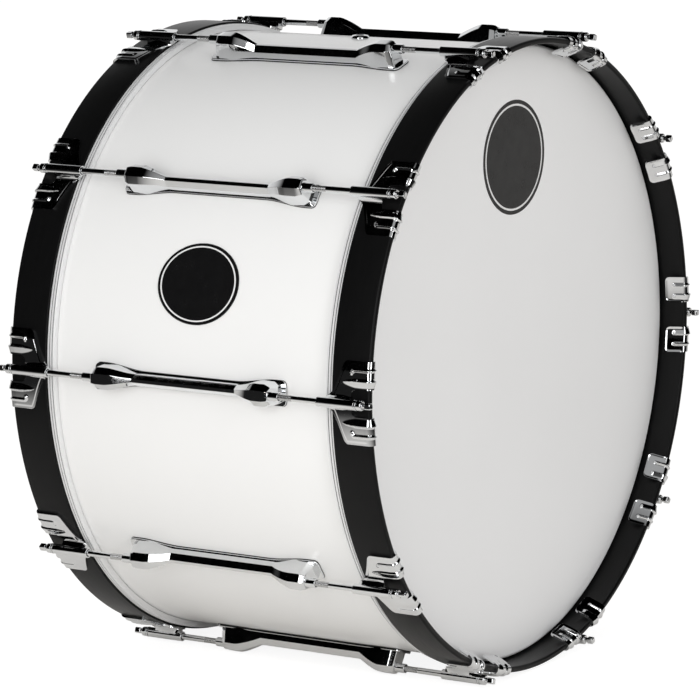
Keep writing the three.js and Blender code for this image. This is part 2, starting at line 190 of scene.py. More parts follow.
class DrumHeadSettings(bpy.types.PropertyGroup):
    """The film of each head and the flesh hoop that holds it."""

    film: length("Film", "Thickness of the film as it is built", 0.5)
    shoulder: length("Shoulder", "From the shell to the film below its bend", 0.8)
    bend: length("Bend", "How far the film bends down before it runs straight", 5)
    step_depth: length("Step depth", "Depth of the step that the film's edge stands in", 6.4)
    step_gap: length("Step gap", "Clearance between the film's edge and the flesh hoop", 0.3)
    flesh_gap: length("Flesh gap", "From the shell's outside to the flesh hoop", 0.4)
    flesh_ease: length("Flesh edge", "Rounding of the flesh hoop's edges", 0.8)
    groove_place: length("Groove place", "From the flesh hoop's inner edge to a groove", 1.9)
    groove_gap: length("Groove gap", "From the first groove to the second", 3)
    groove: length("Groove", "Width and depth of each thin groove round the flesh hoop", 0.95)
    colour: colour("Film colour", "Smooth white film", 0.945, 0.945, 0.946)
    metal: colour("Flesh hoop colour", "Bright satin aluminium", 0.955, 0.956, 0.958)


class DrumHoopSettings(bpy.types.PropertyGroup):
    """The wooden counter hoops."""

    thickness: length("Thickness", "Thickness of the hoop", 6)
    ease: length("Outer edge", "Rounding of the edges that face away from the shell", 2)
    inner_ease: length("Inner edge", "Rounding of the edges that face the shell", 0.5)
    lacquer: colour("Lacquer", "Black lacquer", 0.06, 0.06, 0.062)


class DrumLugSettings(bpy.types.PropertyGroup):
    """The full-length lugs."""

    block: length("Block", "Length of the raised block at each end", 46)
    crest_start: length("Crest start", "From the end face to the block's highest place", 7)
    crest_end: length("Crest end", "From the end face to where the block starts to fall", 20)
    block_fall: FloatProperty(name="Block fall", description="1 is straight", default=1.35)
    bar_height: length("Bar height", "Height of the bar between the blocks", 14.5)
    nose_drop: length("Nose drop", "How far the block falls towards its end face", 0.8)
    slant: length("Slant", "How far the end face's outer edge leans in", 4)
    block_width: length("Block half width", "Half the block's width at its base", 11.5)
    bar_width: length("Bar half width", "Half the bar's width at its base", 6.2)
    nose_width: length("Nose half width", "Half the end face's width at its base", 8.6)
    block_top: length("Block top", "Half the width of the block's outer flat", 5.2)
    bar_top: length("Bar top", "Half the width of the bar's outer flat", 1.9)
    nose_top: length("Nose top", "Half the width of the outer flat at the end face", 4.4)
    bevel: length("Bevel", "Height of the slanted faces beside the outer flat", 6)
    draft: length("Draft", "How far the flanks lean in below the slanted faces", 0.6)
    crisp: length("Crisp edge", "Rounding of the outer flat's edges", 0.6)
    soft: length("Soft edge", "Rounding between the flanks and the slanted faces", 1.2)
    plate: length("Plate", "Thickness of the base plate", 1.5)
    plate_block: length("Plate at block", "Half the base plate's width under a block", 12.3)
    plate_bar: length("Plate at bar", "Half the base plate's width under the bar", 7.2)
    plate_overhang: length("Plate overhang", "How far the base plate passes the end face", 4.5)
    plate_corner: length("Plate corner", "Rounding of the base plate's corners", 5)
    gasket: length("Gasket", "Thickness of the gasket under the base plate", 1.1)
    gasket_reach: length("Gasket reach", "How far the gasket passes the base plate's edge", 0.25)
    gasket_lift: length("Gasket lift", "From the shell to the gasket", 0.05)
    collar: length("Nut collar", "From the end face to the end of the frame's nut", 5)
    nut_reach: length("Nut reach", "How far the swivel nut passes the frame's nut", 2.5)
    nut: length("Nut", "Radius of the swivel nut", 4.6)
    nut_bore: length("Nut bore", "Radius of the swivel nut's hole", 3.5)
    screw_inset: length("Screw inset", "From the end face in to each mounting screw", 29)
    screw: length("Screw", "Radius of a mounting screw", 2.5)
    screw_gap: length("Screw gap", "From the shell's inside to a screw's washer", 0.35)
    screw_washer: length("Screw washer", "Radius of a mounting screw's washer", 6.5)
    screw_head: length("Screw head", "Radius of a mounting screw's head", 4.68)
    screw_washer_height: length("Screw washer height", "Thickness of that washer", 1.2)
    screw_head_height: length("Screw head height", "Height of a screw's head and washer", 3.6)
    chrome: colour("Chrome", "Polished chrome", 0.93, 0.935, 0.94)
    # Also painted on the floor of the flesh hoop's grooves as their shade
    rubber: colour("Gasket colour", "Black gasket", 0.08, 0.08, 0.08)


class DrumClawSettings(bpy.types.PropertyGroup):
    """The pressed double claws."""

    sheet: length("Sheet", "Thickness of the claw's sheet", 2)
    gap: length("Gap", "Clearance between a claw and its hoop", 0.3)
    fold: length("Fold", "Outer rounding of the two folds over the hoop", 4.8)
    flap: length("Flap", "Length of the flap inside the hoop", 18.5)
    flap_lean: turn("Flap lean", "How far the flap leans away from the hoop", 24)
    flap_corner: length("Flap corner", "Rounding of the flap's corners", 4.5)
    rim: length("Rim", "How far the flap's border is turned up", 0.5)
    rim_width: length("Rim width", "Width of that border", 2.4)
    rim_start: length("Rim start", "From the fold to where the border has its full height", 3)
    neck: length("Neck", "Half the claw's width at the hoop's shell-side edge", 8.4)
    flank_width: length("Flank width", "Half the claw's width where its flank ends", 36.5)
    flank: length("Flank", "From the hoop's shell-side edge to the flank's end", 13.2)
    flank_bend: FloatProperty(name="Flank bend", description="1 is straight", default=1.33)
    corner: length("Corner", "From the same edge to where the wing has its full width", 17.4)
    notch: length("Notch half width", "Half the width of the notch round the rod's head", 13.2)
    notch_depth: length("Notch depth", "Depth of the notch from the hoop's outer edge", 19)
    notch_corner: length("Notch corner", "Rounding of the notch's corners", 6)
    border: length("Border", "Width of the flat border round the raised field", 2.8)
    field: length("Field", "How far the inner field is raised", 0.35)
    field_blend: length("Field blend", "Half the width of the field's sloping edge", 0.6)
    field_fade: length("Field fade", "Length over which the field ends before the fold", 4)
    bead: length("Bead", "Height of the hooked bead", 1.4)
    bead_place: length("Bead place", "From the claw's middle to the bead", 31.2)
    bead_width: length("Bead half width", "Half the width of the bead", 2)
    bead_start: length("Bead start", "From the hoop's shell-side edge to the bead's bend", 25.5)
    bead_hook: length("Bead hook", "Radius of the bead's hooked end", 3)
    pad: length("Pad", "Height of the leaf-shaped pad", 1.9)
    pad_width: length("Pad width", "The pad's greatest width", 7.8)
    pad_edge: length("Pad edge", "From the claw's middle to the pad's steep edge", 22.6)
    pad_start: length("Pad start", "From the hoop's shell-side edge to the pad's tip", 13.2)
    pad_growth: FloatProperty(name="Pad growth", description="How fast it widens", default=1.9)
    pad_on_flap: share("Pad on the flap", "The pad's size there as a share of its full size", 0.7)
    pad_shift: share("Pad shift", "How much of its narrowing the pad takes at its steep edge", 0.4)
    pad_steep: share("Pad steep edge", "The steep edge's share of the pad's width", 0.2)
    pressing: length("Pressing", "How far bead and pad run on down the flap", 11)
    pressing_fade: length("Pressing fade", "Length over which bead and pad end", 2)
    tube: length("Tube", "Outer radius of the rod's tube", 5)
    tube_bore: length("Tube bore", "Radius of the tube's hole", 3.6)
    tube_setback: length("Tube setback", "From the hoop's outer edge back to the tube's end", 9.7)
    web: length("Web half width", "Half the width of the web under the tube at its toe", 9.2)
    web_toe: length("Web toe", "Half the web's width at its shell-side end", 4.2)
    web_overhang: length("Web overhang", "How far the web passes the hoop's shell-side edge", 5.5)
    web_sweep: FloatProperty(name="Web sweep", description="1 is a straight side", default=2.6)
    web_sink: length("Web sink", "How far the web's sides start inside the sheet", 0.05)
    web_join: share("Web join", "How low its sides meet the tube, as a share of its radius", 0.3)
    web_widening: share("Web widening", "The part of its length in which its toe widens", 0.3)
    web_flare: share("Web flare", "Where along its length it starts to reach the notch", 0.55)
    cradle: turn("Cradle", "How far below the tube's middle the web's top starts", 18)
    edge: length("Edge", "Rounding of the tube's edges", 0.4)
    sheet_edge: length("Sheet edge", "Rounding of the sheet's edges", 0.95)


class DrumRodSettings(bpy.types.PropertyGroup):
    """The tension rods."""

    shaft: length("Shaft", "Radius of the rod", 3)
    pitch: length("Pitch", "Pitch of the thread", 1.058)
    thread_depth: length("Thread depth", "Depth of the thread", 0.45)
    thread: length("Thread", "Length of the threaded part", 36)
    washer: length("Washer", "Radius of the washer", 5.2)
    washer_place: length("Washer place", "From the tube's outer end to the washer", 0.3)
    washer_thickness: length("Washer thickness", "Thickness of the loose washer", 1.6)
    collar: length("Collar", "Radius of the rod's collar", 4.9)
    collar_round: length("Collar rounding", "Rounding of the collar's outer edge", 1.12)
    waist: length("Waist", "Radius of the groove between washer and collar", 4.214)
    waist_length: length("Waist length", "Width of that groove", 0.8)
    head: length("Head", "Length of washer and collar together", 7.6)
    key: length("Key", "Width of the square end", 6)
    key_edge: length("Key edge", "Rounding of the square end's edges", 1.1)
    neck: length("Neck", "Radius of the neck between collar and square end", 2.4)
    neck_length: length("Neck length", "Length of that neck", 2.6)
    collar_edge: length("Collar edge", "Rounding of the collar's and washer's edges", 0.7)
    steel: colour("Thread", "Bright steel of the thread", 0.80, 0.80, 0.80)


class DrumBadgeSettings(bpy.types.PropertyGroup):
    """The blank oval on the shell and the one on the front head."""

    place: turn("Place", "Angle from the top, clockwise seen from the front", 288)
    half_height: length("Half height", "Half the shell badge's height round the shell", 39.5)
    gap: length("Gap", "Between the shell and the badge", 0.1)
    thickness: length("Thickness", "Thickness of the shell badge", 1.0)
    edge: share("Edge", "Width of an oval's slanted edge as a share of its thickness", 0.4)
    head_thickness: length("Head oval", "Thickness of the oval on the head", 0.15)
    head_half_width: length("Head oval half width", "Half the width of the oval", 59.5)
    head_half_height: length("Head oval half height", "Half the height of the oval", 56.5)
    head_side: length("Head oval side", "From the head's middle, to the right", -1.5)
    head_height: length("Head oval height", "From the head's middle, up", 195.6)
    line_start: share("Line start", "Inner edge of the light line, as a share", 0.895)
    line_end: share("Line end", "Outer edge of the light line, as a share", 0.93)
    segments: steps("Segments", "Segments round an oval", 128)
    enamel: colour("Enamel", "Gloss black", 0.075, 0.075, 0.078)
    line: colour("Line", "Light line near the edge", 0.90, 0.90, 0.90)


class DrumStageSettings(bpy.types.PropertyGroup):
    """Camera, floor and light."""

    azimuth: turn("Azimuth", "Camera's direction round the drum", -57.7487)
    elevation: turn("Elevation", "Camera's height above the horizon", 9.2959)
    roll: turn("Roll", "Camera's roll", -0.3149)
    distance: length("Distance", "From the drum's middle to the camera", 4231.4)
    lens: FloatProperty(name="Lens", description="Focal length in mm", default=215.333)
    shift_x: FloatProperty(name="Shift X", description="Camera shift", default=-0.016782)
    shift_y: FloatProperty(name="Shift Y", description="Camera shift", default=-0.015605)
    floor: length("Floor", "Half the floor's width", 30000)
    floor_glow: share("Floor glow", "Share of the floor's white that no shadow takes", 0.72)
    floor_white: FloatProperty(name="Floor white", description="Glow's strength", default=1.24)
    near: length("Near floor", "Where the bright floor round the drum starts to darken", 600)
    far: length("Far floor", "Where the floor round the drum is dark in reflections", 1550)
    side_lamp: FloatProperty(name="Side lamp", description="Power of the left lamp", default=11)
    front_lamp: FloatProperty(name="Front lamp", description="Power of the front lamp", default=8)
    lamp_width: length("Lamp width", "Width of each lamp", 600)
    lamp_height: length("Lamp height", "Height of each lamp", 1500)
    side_light: FloatProperty(name="Side light", description="Light from all round", default=0.96)
    top_light: FloatProperty(name="Top light", description="Light from above", default=0.66)
    panel_light: share("Panel light", "Light of the panel that gloss shows", 0.45)


class DrumSettings(bpy.types.PropertyGroup):
    """All the sizes and colours of the drum."""

    shell: PointerProperty(type=DrumShellSettings)
    head: PointerProperty(type=DrumHeadSettings)
    hoop: PointerProperty(type=DrumHoopSettings)
    lug: PointerProperty(type=DrumLugSettings)
    claw: PointerProperty(type=DrumClawSettings)
    rod: PointerProperty(type=DrumRodSettings)
    badge: PointerProperty(type=DrumBadgeSettings)
    stage: PointerProperty(type=DrumStageSettings)


def drum_settings():
    """The drum's settings in this scene."""
    return bpy.context.scene.drum


# Outlines and surfaces. A part is a pair: its vertices, and its faces as rows of vertex numbers.

def between(start, end, part):
    """A value that goes from start to end as part goes from 0 to 1."""
    return start + (end - start) * part


def smooth(value, start, end):
    """Goes gently from 0 to 1 as value goes from start to end."""
    part = min(max((value - start) / (end - start), 0), 1)
    return part * part * (3 - 2 * part)


def even(start, end, count):
    """Values from start to end in a number of equal steps, both ends included."""
    return [between(start, end, index / count) for index in range(count + 1)]


def quarter_arc(radius):
    """Points round a quarter circle, from straight along to straight across, as pairs."""
    angles = even(0, QUARTER_TURN, 3)
    return [(radius * math.sin(angle), radius * math.cos(angle)) for angle in angles]


def eased(corners, radii, count=3):
    """A closed outline with each corner rounded to its own radius."""
    outline = []
    for index, (place, radius) in enumerate(zip(corners, radii)):
        corner = Vector(place)
        if radius <= 0:
            outline.append(corner)
            continue
        to_before = (Vector(corners[index - 1]) - corner).normalized()
        to_after = (Vector(corners[(index + 1) % len(corners)]) - corner).normalized()
        half = to_before.angle(to_after) / 2
        centre = corner + (to_before + to_after).normalized() * (radius / math.sin(half))
        start = corner + to_before * (radius / math.tan(half)) - centre
        end = corner + to_after * (radius / math.tan(half)) - centre
        sweep = start.angle_signed(end)
        for step in even(0, sweep, count):
            # angle_signed counts clockwise turns as positive
            outline.append(centre + Matrix.Rotation(-step, 2) @ start)
    return outline


def ring_faces(rings):
    """Faces from each ring of vertex numbers to the next. A point's ring repeats its number."""
    faces = []
    for ring, following in zip(rings, rings[1:]):
        for index in range(len(ring)):
            after = (index + 1) % len(ring)
            face = (ring[index], ring[after], following[after], following[index])
            corners = tuple(dict.fromkeys(face))
            if len(corners) > 2:
                faces.append(corners)
    return faces


def revolve(outline, sides, height=0.0):
    """A closed outline of (radius, out) pairs, turned about an axis along Y at a height."""
    vertices = []
    rings = []
    for radius, out in outline:
        if radius == 0:
            rings.append([len(vertices)] * sides)
            vertices.append(Vector((0, -out, height)))
            continue
        rings.append(range(len(vertices), len(vertices) + sides))
        for index in range(sides):
            angle = FULL_TURN * index / sides
            across = radius * math.sin(angle)
            vertices.append(Vector((across, -out, height + radius * math.cos(angle))))
    return vertices, ring_faces([*rings, rings[0]])


def stood(part, along):
    """A part with its axis along Y, stood up along Z at a place along the drum's axis."""
    vertices, faces = part
    return [Vector((point.x, along - point.z, point.y)) for point in vertices], faces


def loft(sections):
    """A closed part through a row of closed sections that have the same number of points."""
    count = len(sections[0])
    vertices = [point for section in sections for point in section]
    rings = [range(start, start + count) for start in range(0, len(vertices), count)]
    ends = [tuple(reversed(rings[0])), tuple(rings[-1])]
    return vertices, ring_faces(rings) + ends


def patch(rows, columns, place):
    """An open sheet: place(row, column) gives the point for each pair of values."""
    vertices = [place(row, column) for row in rows for column in columns]
    width = len(columns)
    faces = []
    for row in range(len(rows) - 1):
        for column in range(width - 1):
            here = row * width + column
            faces.append((here, here + width, here + width + 1, here + 1))
    return vertices, faces


def mirrored(part):
    """The same part on the other side of the plane through the drum's axis."""
    vertices, faces = part
    turned = [Vector((-point.x, point.y, point.z)) for point in vertices]
    return turned, [tuple(reversed(face)) for face in faces]


class Shape:
    """One piece's mesh, gathered part by part, each part with a finish by number."""

    def __init__(self):
        self.vertices = []
        self.faces = []
        self.finishes = []

    def add(self, part, finish=0, matrix=None):
        """Adds a part. finish is a number, or a rule that gives one for a face's middle."""
        vertices, faces = part
        start = len(self.vertices)
        for point in vertices:
            self.vertices.append(matrix @ point if matrix else point)
        for face in faces:
            self.faces.append(tuple(start + index for index in face))
            if callable(finish):
                middle = sum((vertices[index] for index in face), Vector()) / len(face)
                self.finishes.append(finish(middle))
            else:
                self.finishes.append(finish)

    def mesh(self, name, finishes, sharp=32, outward=True, flat=False):
        """The mesh, its seams closed and its edges above an angle, in degrees, kept sharp.

        With outward, its faces are turned out. With flat, the shading of wide faces stays flat
        and only their rounded edges bend it.
        """
        mesh = bpy.data.meshes.new(name)
        mesh.from_pydata(self.vertices, [], self.faces)
        mesh.polygons.foreach_set("material_index", self.finishes)
        for material in finishes:
            mesh.materials.append(material)
        form = bmesh.new()
        form.from_mesh(mesh)
        bmesh.ops.remove_doubles(form, verts=form.verts, dist=SEAM)
        if outward:
            bmesh.ops.recalc_face_normals(form, faces=form.faces)
        form.to_mesh(mesh)
        form.free()
        mesh.shade_smooth()
        mesh.set_sharp_from_angle(angle=math.radians(sharp))
        mesh.validate()
        if flat:
            weights = {"mode": "FACE_AREA", "keep_sharp": True}
            return with_modifiers(mesh, [("WEIGHTED_NORMAL", weights)])
        return mesh


def with_modifiers(mesh, modifiers):
    """A mesh after modifiers, given as pairs of a type and its settings, have been applied."""
    holder = bpy.data.objects.new("holder", mesh)
    bpy.context.scene.collection.objects.link(holder)
    for kind, settings in modifiers:
        modifier = holder.modifiers.new(kind.lower(), kind)
        for name, value in settings.items():
            setattr(modifier, name, value)
    graph = bpy.context.evaluated_depsgraph_get()
    made = bpy.data.meshes.new_from_object(holder.evaluated_get(graph))
    bpy.data.objects.remove(holder)
    return made


def as_part(mesh):
    """A mesh's vertices and faces."""
    vertices = [vertex.co.copy() for vertex in mesh.vertices]
    return vertices, [tuple(face.vertices) for face in mesh.polygons]


def place(name, mesh, angle=0.0, rear=False):
    """A shown object, turned from straight above the axis at the front end to its place."""
    piece = bpy.data.objects.new(name, mesh)
    bpy.context.scene.collection.objects.link(piece)
    end = Matrix.Rotation(HALF_TURN if rear else 0, 4, "Z")
    lift = Matrix.Translation((0, 0, AXIS_HEIGHT))
    piece.matrix_world = lift @ Matrix.Rotation(angle, 4, "Y") @ end
    return piece


def stations():
    """The number of each lug, as two digits, and its angle from the top."""
    for index in range(LUG_COUNT):
        yield f"{index + 1:02d}", LUG_SPACING * (index + 1 / 2)


# The drum's two ends, each with whether it is the rear one
ENDS = (("front", False), ("rear", True))


# Materials

WHITE = (1, 1, 1, 1)

# Between these lie most of a noise pattern's values
NOISE_LOW = 0.3
NOISE_HIGH = 0.7


class Nodes:
    """A node tree whose nodes are made one after the other."""

    def __init__(self, tree):
        self.tree = tree

    def node(self, kind, **settings):
        """A new node with its settings, such as its operation."""
        made = self.tree.nodes.new("ShaderNode" + kind)
        for name, value in settings.items():
            setattr(made, name, value)
        return made

    def join(self, source, target):
        """Links an output to an input."""
        self.tree.links.new(source, target)

    def value(self, operation, *values):
        """What an operation makes of its values, each an output or a number."""
        made = self.node("Math", operation=operation)
        for index, given in enumerate(values):
            if isinstance(given, (int, float)):
                made.inputs[index].default_value = given
            else:
                self.join(given, made.inputs[index])
        return made.outputs[0]


class Finish(Nodes):
    """A material made from the standard shader."""

    def __init__(self, name):
        self.material = bpy.data.materials.new(name)
        self.material.use_nodes = True
        super().__init__(self.material.node_tree)
        self.shader = self.tree.nodes["Principled BSDF"]

    def set(self, **values):
        """Sets the shader's own inputs, named in small letters with underscores."""
        for name, value in values.items():
            label = name.replace("_", " ").title().replace("Ior", "IOR")
            self.shader.inputs[label].default_value = value

    def position(self):
        """Where on its own piece a point lies."""
        return self.node("TexCoord").outputs["Object"]

    def round_axis(self, along, across, around):
        """Coordinates that run round the drum's axis, stretched by three scales."""
        split = self.node("SeparateXYZ")
        self.join(self.position(), split.inputs[0])
        side, out, height = split.outputs
        squares = self.value("ADD", self.value("POWER", side, 2), self.value("POWER", height, 2))
        radius = self.value("SQRT", squares)
        angle = self.value("ARCTAN2", side, height)
        combined = self.node("CombineXYZ")
        scaled = ((out, along), (radius, across), (angle, around))
        for index, (source, scale) in enumerate(scaled):
            self.join(self.value("MULTIPLY", source, scale), combined.inputs[index])
        return combined.outputs[0]

    def noise(self, coordinates, scale=1, detail=2, roughness=0.5):
        """A soft random pattern."""
        made = self.node("TexNoise")
        self.join(coordinates, made.inputs["Vector"])
        made.inputs["Scale"].default_value = scale
        made.inputs["Detail"].default_value = detail
        made.inputs["Roughness"].default_value = roughness
        return made.outputs["Fac"]

    def roughness(self, pattern, low, high):
        """Roughness that varies with a pattern between two values."""
        made = self.node("MapRange")
        self.join(pattern, made.inputs["Value"])
        made.inputs["From Min"].default_value = NOISE_LOW
        made.inputs["From Max"].default_value = NOISE_HIGH
        made.inputs["To Min"].default_value = low
        made.inputs["To Max"].default_value = high
        self.join(made.outputs["Result"], self.shader.inputs["Roughness"])

    def tint(self, pattern, colour, depth):
        """The base colour, darker by a share where the pattern is low."""
        ramp = self.node("ValToRGB")
        self.join(pattern, ramp.inputs["Fac"])
        low, high = ramp.color_ramp.elements
        low.position = NOISE_LOW
        high.position = NOISE_HIGH
        low.color = (*(channel * (1 - depth) for channel in colour), 1)
        high.color = (*colour, 1)
        self.join(ramp.outputs["Color"], self.shader.inputs["Base Color"])

    def relief(self, pattern, strength, depth):
        """Fine relief of a pattern, its depth in millimetres."""
        bump = self.node("Bump")
        bump.inputs["Strength"].default_value = strength
        bump.inputs["Distance"].default_value = depth * MM
        self.join(pattern, bump.inputs["Height"])
        self.join(bump.outputs["Normal"], self.shader.inputs["Normal"])


def gloss_white(settings):
    """Sprayed gloss white over wood, with the faint unevenness of a sprayed coat."""
    finish = Finish("gloss_white")
    cloud = finish.noise(finish.position(), scale=5)
    finish.tint(cloud, settings.finish, depth=0.012)
    finish.roughness(cloud, low=0.30, high=0.36)
    peel = finish.noise(finish.position(), scale=420)
    finish.relief(peel, strength=0.04, depth=0.05)
    finish.set(coat_weight=0.35, coat_roughness=0.12, ior=1.45)
    return finish.material


def shell_veneer(settings):
    """Bare wood inside the shell, its grain running round."""
    finish = Finish("shell_veneer")
    round_shell = finish.round_axis(along=240, across=240, around=6)
    grain = finish.noise(round_shell, detail=5, roughness=0.65)
    finish.tint(grain, settings.veneer, depth=0.28)
    finish.roughness(grain, low=0.5, high=0.7)
    finish.relief(grain, strength=0.3, depth=0.2)
    return finish.material


def head_film(settings):
    """Smooth white film with a fine matt grain."""
    finish = Finish("head_film")
    cloud = finish.noise(finish.position(), scale=7)
    finish.tint(cloud, settings.colour, depth=0.018)
    grain = finish.noise(finish.position(), scale=1500, roughness=0.6)
    finish.roughness(grain, low=0.42, high=0.5)
    finish.relief(grain, strength=0.08, depth=0.03)
    finish.set(ior=1.5)
    return finish.material


def brushed_aluminium(settings):
    """Aluminium with fine lines round the ring."""
    finish = Finish("brushed_aluminium")
    round_ring = finish.round_axis(along=5000, across=5000, around=9)
    lines = finish.noise(round_ring, roughness=0.6)
    finish.tint(lines, settings.metal, depth=0.12)
    finish.roughness(lines, low=0.30, high=0.42)
    finish.relief(lines, strength=0.12, depth=0.02)
    finish.set(metallic=0.25)
    return finish.material


def black_lacquer(settings):
    """Black lacquer over wood: a trace of the grain shows in its sheen."""
    finish = Finish("black_lacquer")
    round_hoop = finish.round_axis(along=700, across=700, around=14)
    grain = finish.noise(round_hoop, detail=4, roughness=0.6)
    finish.tint(grain, settings.lacquer, depth=0.25)
    finish.roughness(grain, low=0.30, high=0.36)
    finish.relief(grain, strength=0.03, depth=0.03)
    finish.set(ior=1.45, specular_ior_level=0.19)
    return finish.material


def polished_chrome(settings):
    """Polished chrome with the faint ripple and haze of a plated casting."""
    finish = Finish("polished_chrome")
    haze = finish.noise(finish.position(), scale=60, detail=3)
    finish.tint(haze, settings.chrome, depth=0.03)
    finish.roughness(haze, low=0.03, high=0.075)
    ripple = finish.noise(finish.position(), scale=170, detail=1)
    finish.relief(ripple, strength=0.10, depth=0.06)
    finish.set(metallic=1.0)
    return finish.material


def thread_steel(settings):
    """Plated steel of the threads, less bright than the rest."""
    finish = Finish("thread_steel")
    haze = finish.noise(finish.position(), scale=600, detail=3)
    finish.tint(haze, settings.steel, depth=0.15)
    finish.roughness(haze, low=0.16, high=0.28)
    finish.relief(haze, strength=0.1, depth=0.02)
    finish.set(metallic=1.0)
    return finish.material


def black_rubber_and_groove_shade(settings):
    """Black rubber of the gaskets, also painted shade on the floor of the flesh hoop's grooves."""
    finish = Finish("black_rubber_and_groove_shade")
    grain = finish.noise(finish.position(), scale=900, detail=3)
    finish.tint(grain, settings.rubber, depth=0.25)
    finish.roughness(grain, low=0.5, high=0.65)
    finish.relief(grain, strength=0.2, depth=0.03)
    return finish.material


def black_enamel(settings):
    """Gloss black of the two ovals."""
    finish = Finish("black_enamel")
    cloud = finish.noise(finish.position(), scale=80)
    finish.tint(cloud, settings.enamel, depth=0.12)
    finish.roughness(cloud, low=0.2, high=0.28)
    fine = finish.noise(finish.position(), scale=700)
    finish.relief(fine, strength=0.05, depth=0.02)
    finish.set(ior=1.45)
    return finish.material


def light_line(settings):
    """Light line inlaid near an oval's edge."""
    finish = Finish("light_line")
    cloud = finish.noise(finish.position(), scale=120)
    finish.tint(cloud, settings.line, depth=0.03)
    finish.roughness(cloud, low=0.3, high=0.4)
    fine = finish.noise(finish.position(), scale=900)
    finish.relief(fine, strength=0.04, depth=0.02)
    return finish.material


def shared(name, make, settings):
    """A finish that several pieces share, made for the first of them."""
    return bpy.data.materials.get(name) or make(settings)


# Shell

def shell_outline(settings):
    """Half section through the wall: rounded bearing edges, and rings beside the vent."""
    crest = SHELL_RADIUS - settings.crest_inset
    inner = SHELL_RADIUS - settings.wall
    rounding = []
    for angle in even(0, QUARTER_TURN, 6):
        radius = crest + settings.crest_inset * math.cos(angle)
        out = SHELL_END - settings.round_depth * (1 - math.sin(angle))
        rounding.append((radius, out))
    end = [*rounding, (inner, SHELL_END - (crest - inner))]
    other = [(radius, -out) for radius, out in reversed(end)]
    middle = [(SHELL_RADIUS, side * settings.vent_beside - VENT_PLACE) for side in (-1, 1)]
    return [*end, *other, *middle]


def post(radius, inner, outer, along, sides):
    """A round post that stands in the shell's wall, between two heights."""
    outline = [(0, -inner), (radius, -inner), (radius, -outer), (0, -outer)]
    return stood(revolve(outline, sides), along)


def shell_mesh(drum):
    """The shell with its vent hole and its screw holes."""
    settings = drum.shell
    lug = drum.lug
    body = Shape()
    body.add(revolve(shell_outline(settings), settings.segments))
    inner = SHELL_RADIUS - 2 * settings.wall
    outer = SHELL_RADIUS + settings.wall
    holes = Shape()
    vent = settings.vent_barrel + settings.hole_gap
    holes.add(post(vent, inner, outer, VENT_PLACE, TUBE_SIDES))
    screw = lug.screw + settings.hole_gap
    screw_place = NUT_END - lug.collar - lug.screw_inset
    for _, angle in stations():
        for side in (-1, 1):
            hole = post(screw, inner, outer, side * screw_place, SMALL_SIDES)
            holes.add(hole, matrix=Matrix.Rotation(angle, 4, "Y"))
    cutter = bpy.data.objects.new("cutter", holes.mesh("cutter", []))
    bpy.context.scene.collection.objects.link(cutter)
    cut = {"operation": "DIFFERENCE", "solver": "EXACT", "object": cutter}
    drilled = with_modifiers(body.mesh("shell_body", []), [("BOOLEAN", cut)])
    bpy.data.objects.remove(cutter)
    crest = SHELL_RADIUS - settings.crest_inset

    def is_inside(middle):
        return int(math.hypot(middle.x, middle.z) <= crest)

    shape = Shape()
    shape.add(as_part(drilled), is_inside)
    return shape.mesh("shell_skin", [gloss_white(settings), shell_veneer(settings)])


def vent_mesh(drum):
    """Tube through the shell, with a rounded flange outside and a lip inside."""
    settings = drum.shell
    inner = SHELL_RADIUS - settings.wall
    lip = inner - settings.vent_lip
    top = SHELL_RADIUS + settings.vent_rise
    corners = [
        (settings.vent_bore, -lip),
        (settings.vent_flange, -lip),
        (settings.vent_flange, -inner),
        (settings.vent_barrel, -inner),
        (settings.vent_barrel, -SHELL_RADIUS),
        (settings.vent_flange, -SHELL_RADIUS),
        (settings.vent_flange, -top),
        (settings.vent_bore, -top),
    ]
    edge = settings.vent_lip / 2
    radii = [edge, edge, 0, 0, 0, 0, settings.vent_round, settings.vent_inner_round]
    outline = eased(corners, radii, count=8)
    shape = Shape()
    shape.add(stood(revolve(outline, VENT_SIDES), VENT_PLACE))
    chrome = shared("polished_chrome", polished_chrome, drum.lug)
    return shape.mesh("vent_grommet_form", [chrome])


# Heads and hoops

# Where the film's flat face has its rings, as shares of the bearing edge's radius
FILM_RING_SHARES = (0.2, 0.4, 0.6, 0.75, 0.88, 0.96)


def film_outline(settings, crest):
    """Half section of the film: flat face, elliptic bend and straight collar."""
    inner_face = FILM_FACE - settings.film
    bend_out = FILM_FACE - settings.bend
    shoulder = SHELL_RADIUS + settings.shoulder
    collar = FILM_RADIUS - settings.film
    inside = []
    outside = []
    for angle in even(QUARTER_TURN, 0, 8):
        across = math.cos(angle)
        rise = math.sin(angle)
        inside.append((
            between(crest, shoulder, across),
            between(bend_out, inner_face, rise),
        ))
        outside.append((
            between(crest, shoulder + settings.film, across),
            between(bend_out, FILM_FACE, rise),
        ))
    rings = [crest * part for part in FILM_RING_SHARES]
    back = [(0, inner_face), *((radius, inner_face) for radius in rings), *inside]
    back += [(collar, FLESH_OUTER_EDGE), (collar, FILM_EDGE)]
    front = [(0, FILM_FACE), *((radius, FILM_FACE) for radius in rings), *outside]
    front += [(FILM_RADIUS, FLESH_OUTER_EDGE), (FILM_RADIUS, FILM_EDGE)]
    return back + list(reversed(front))


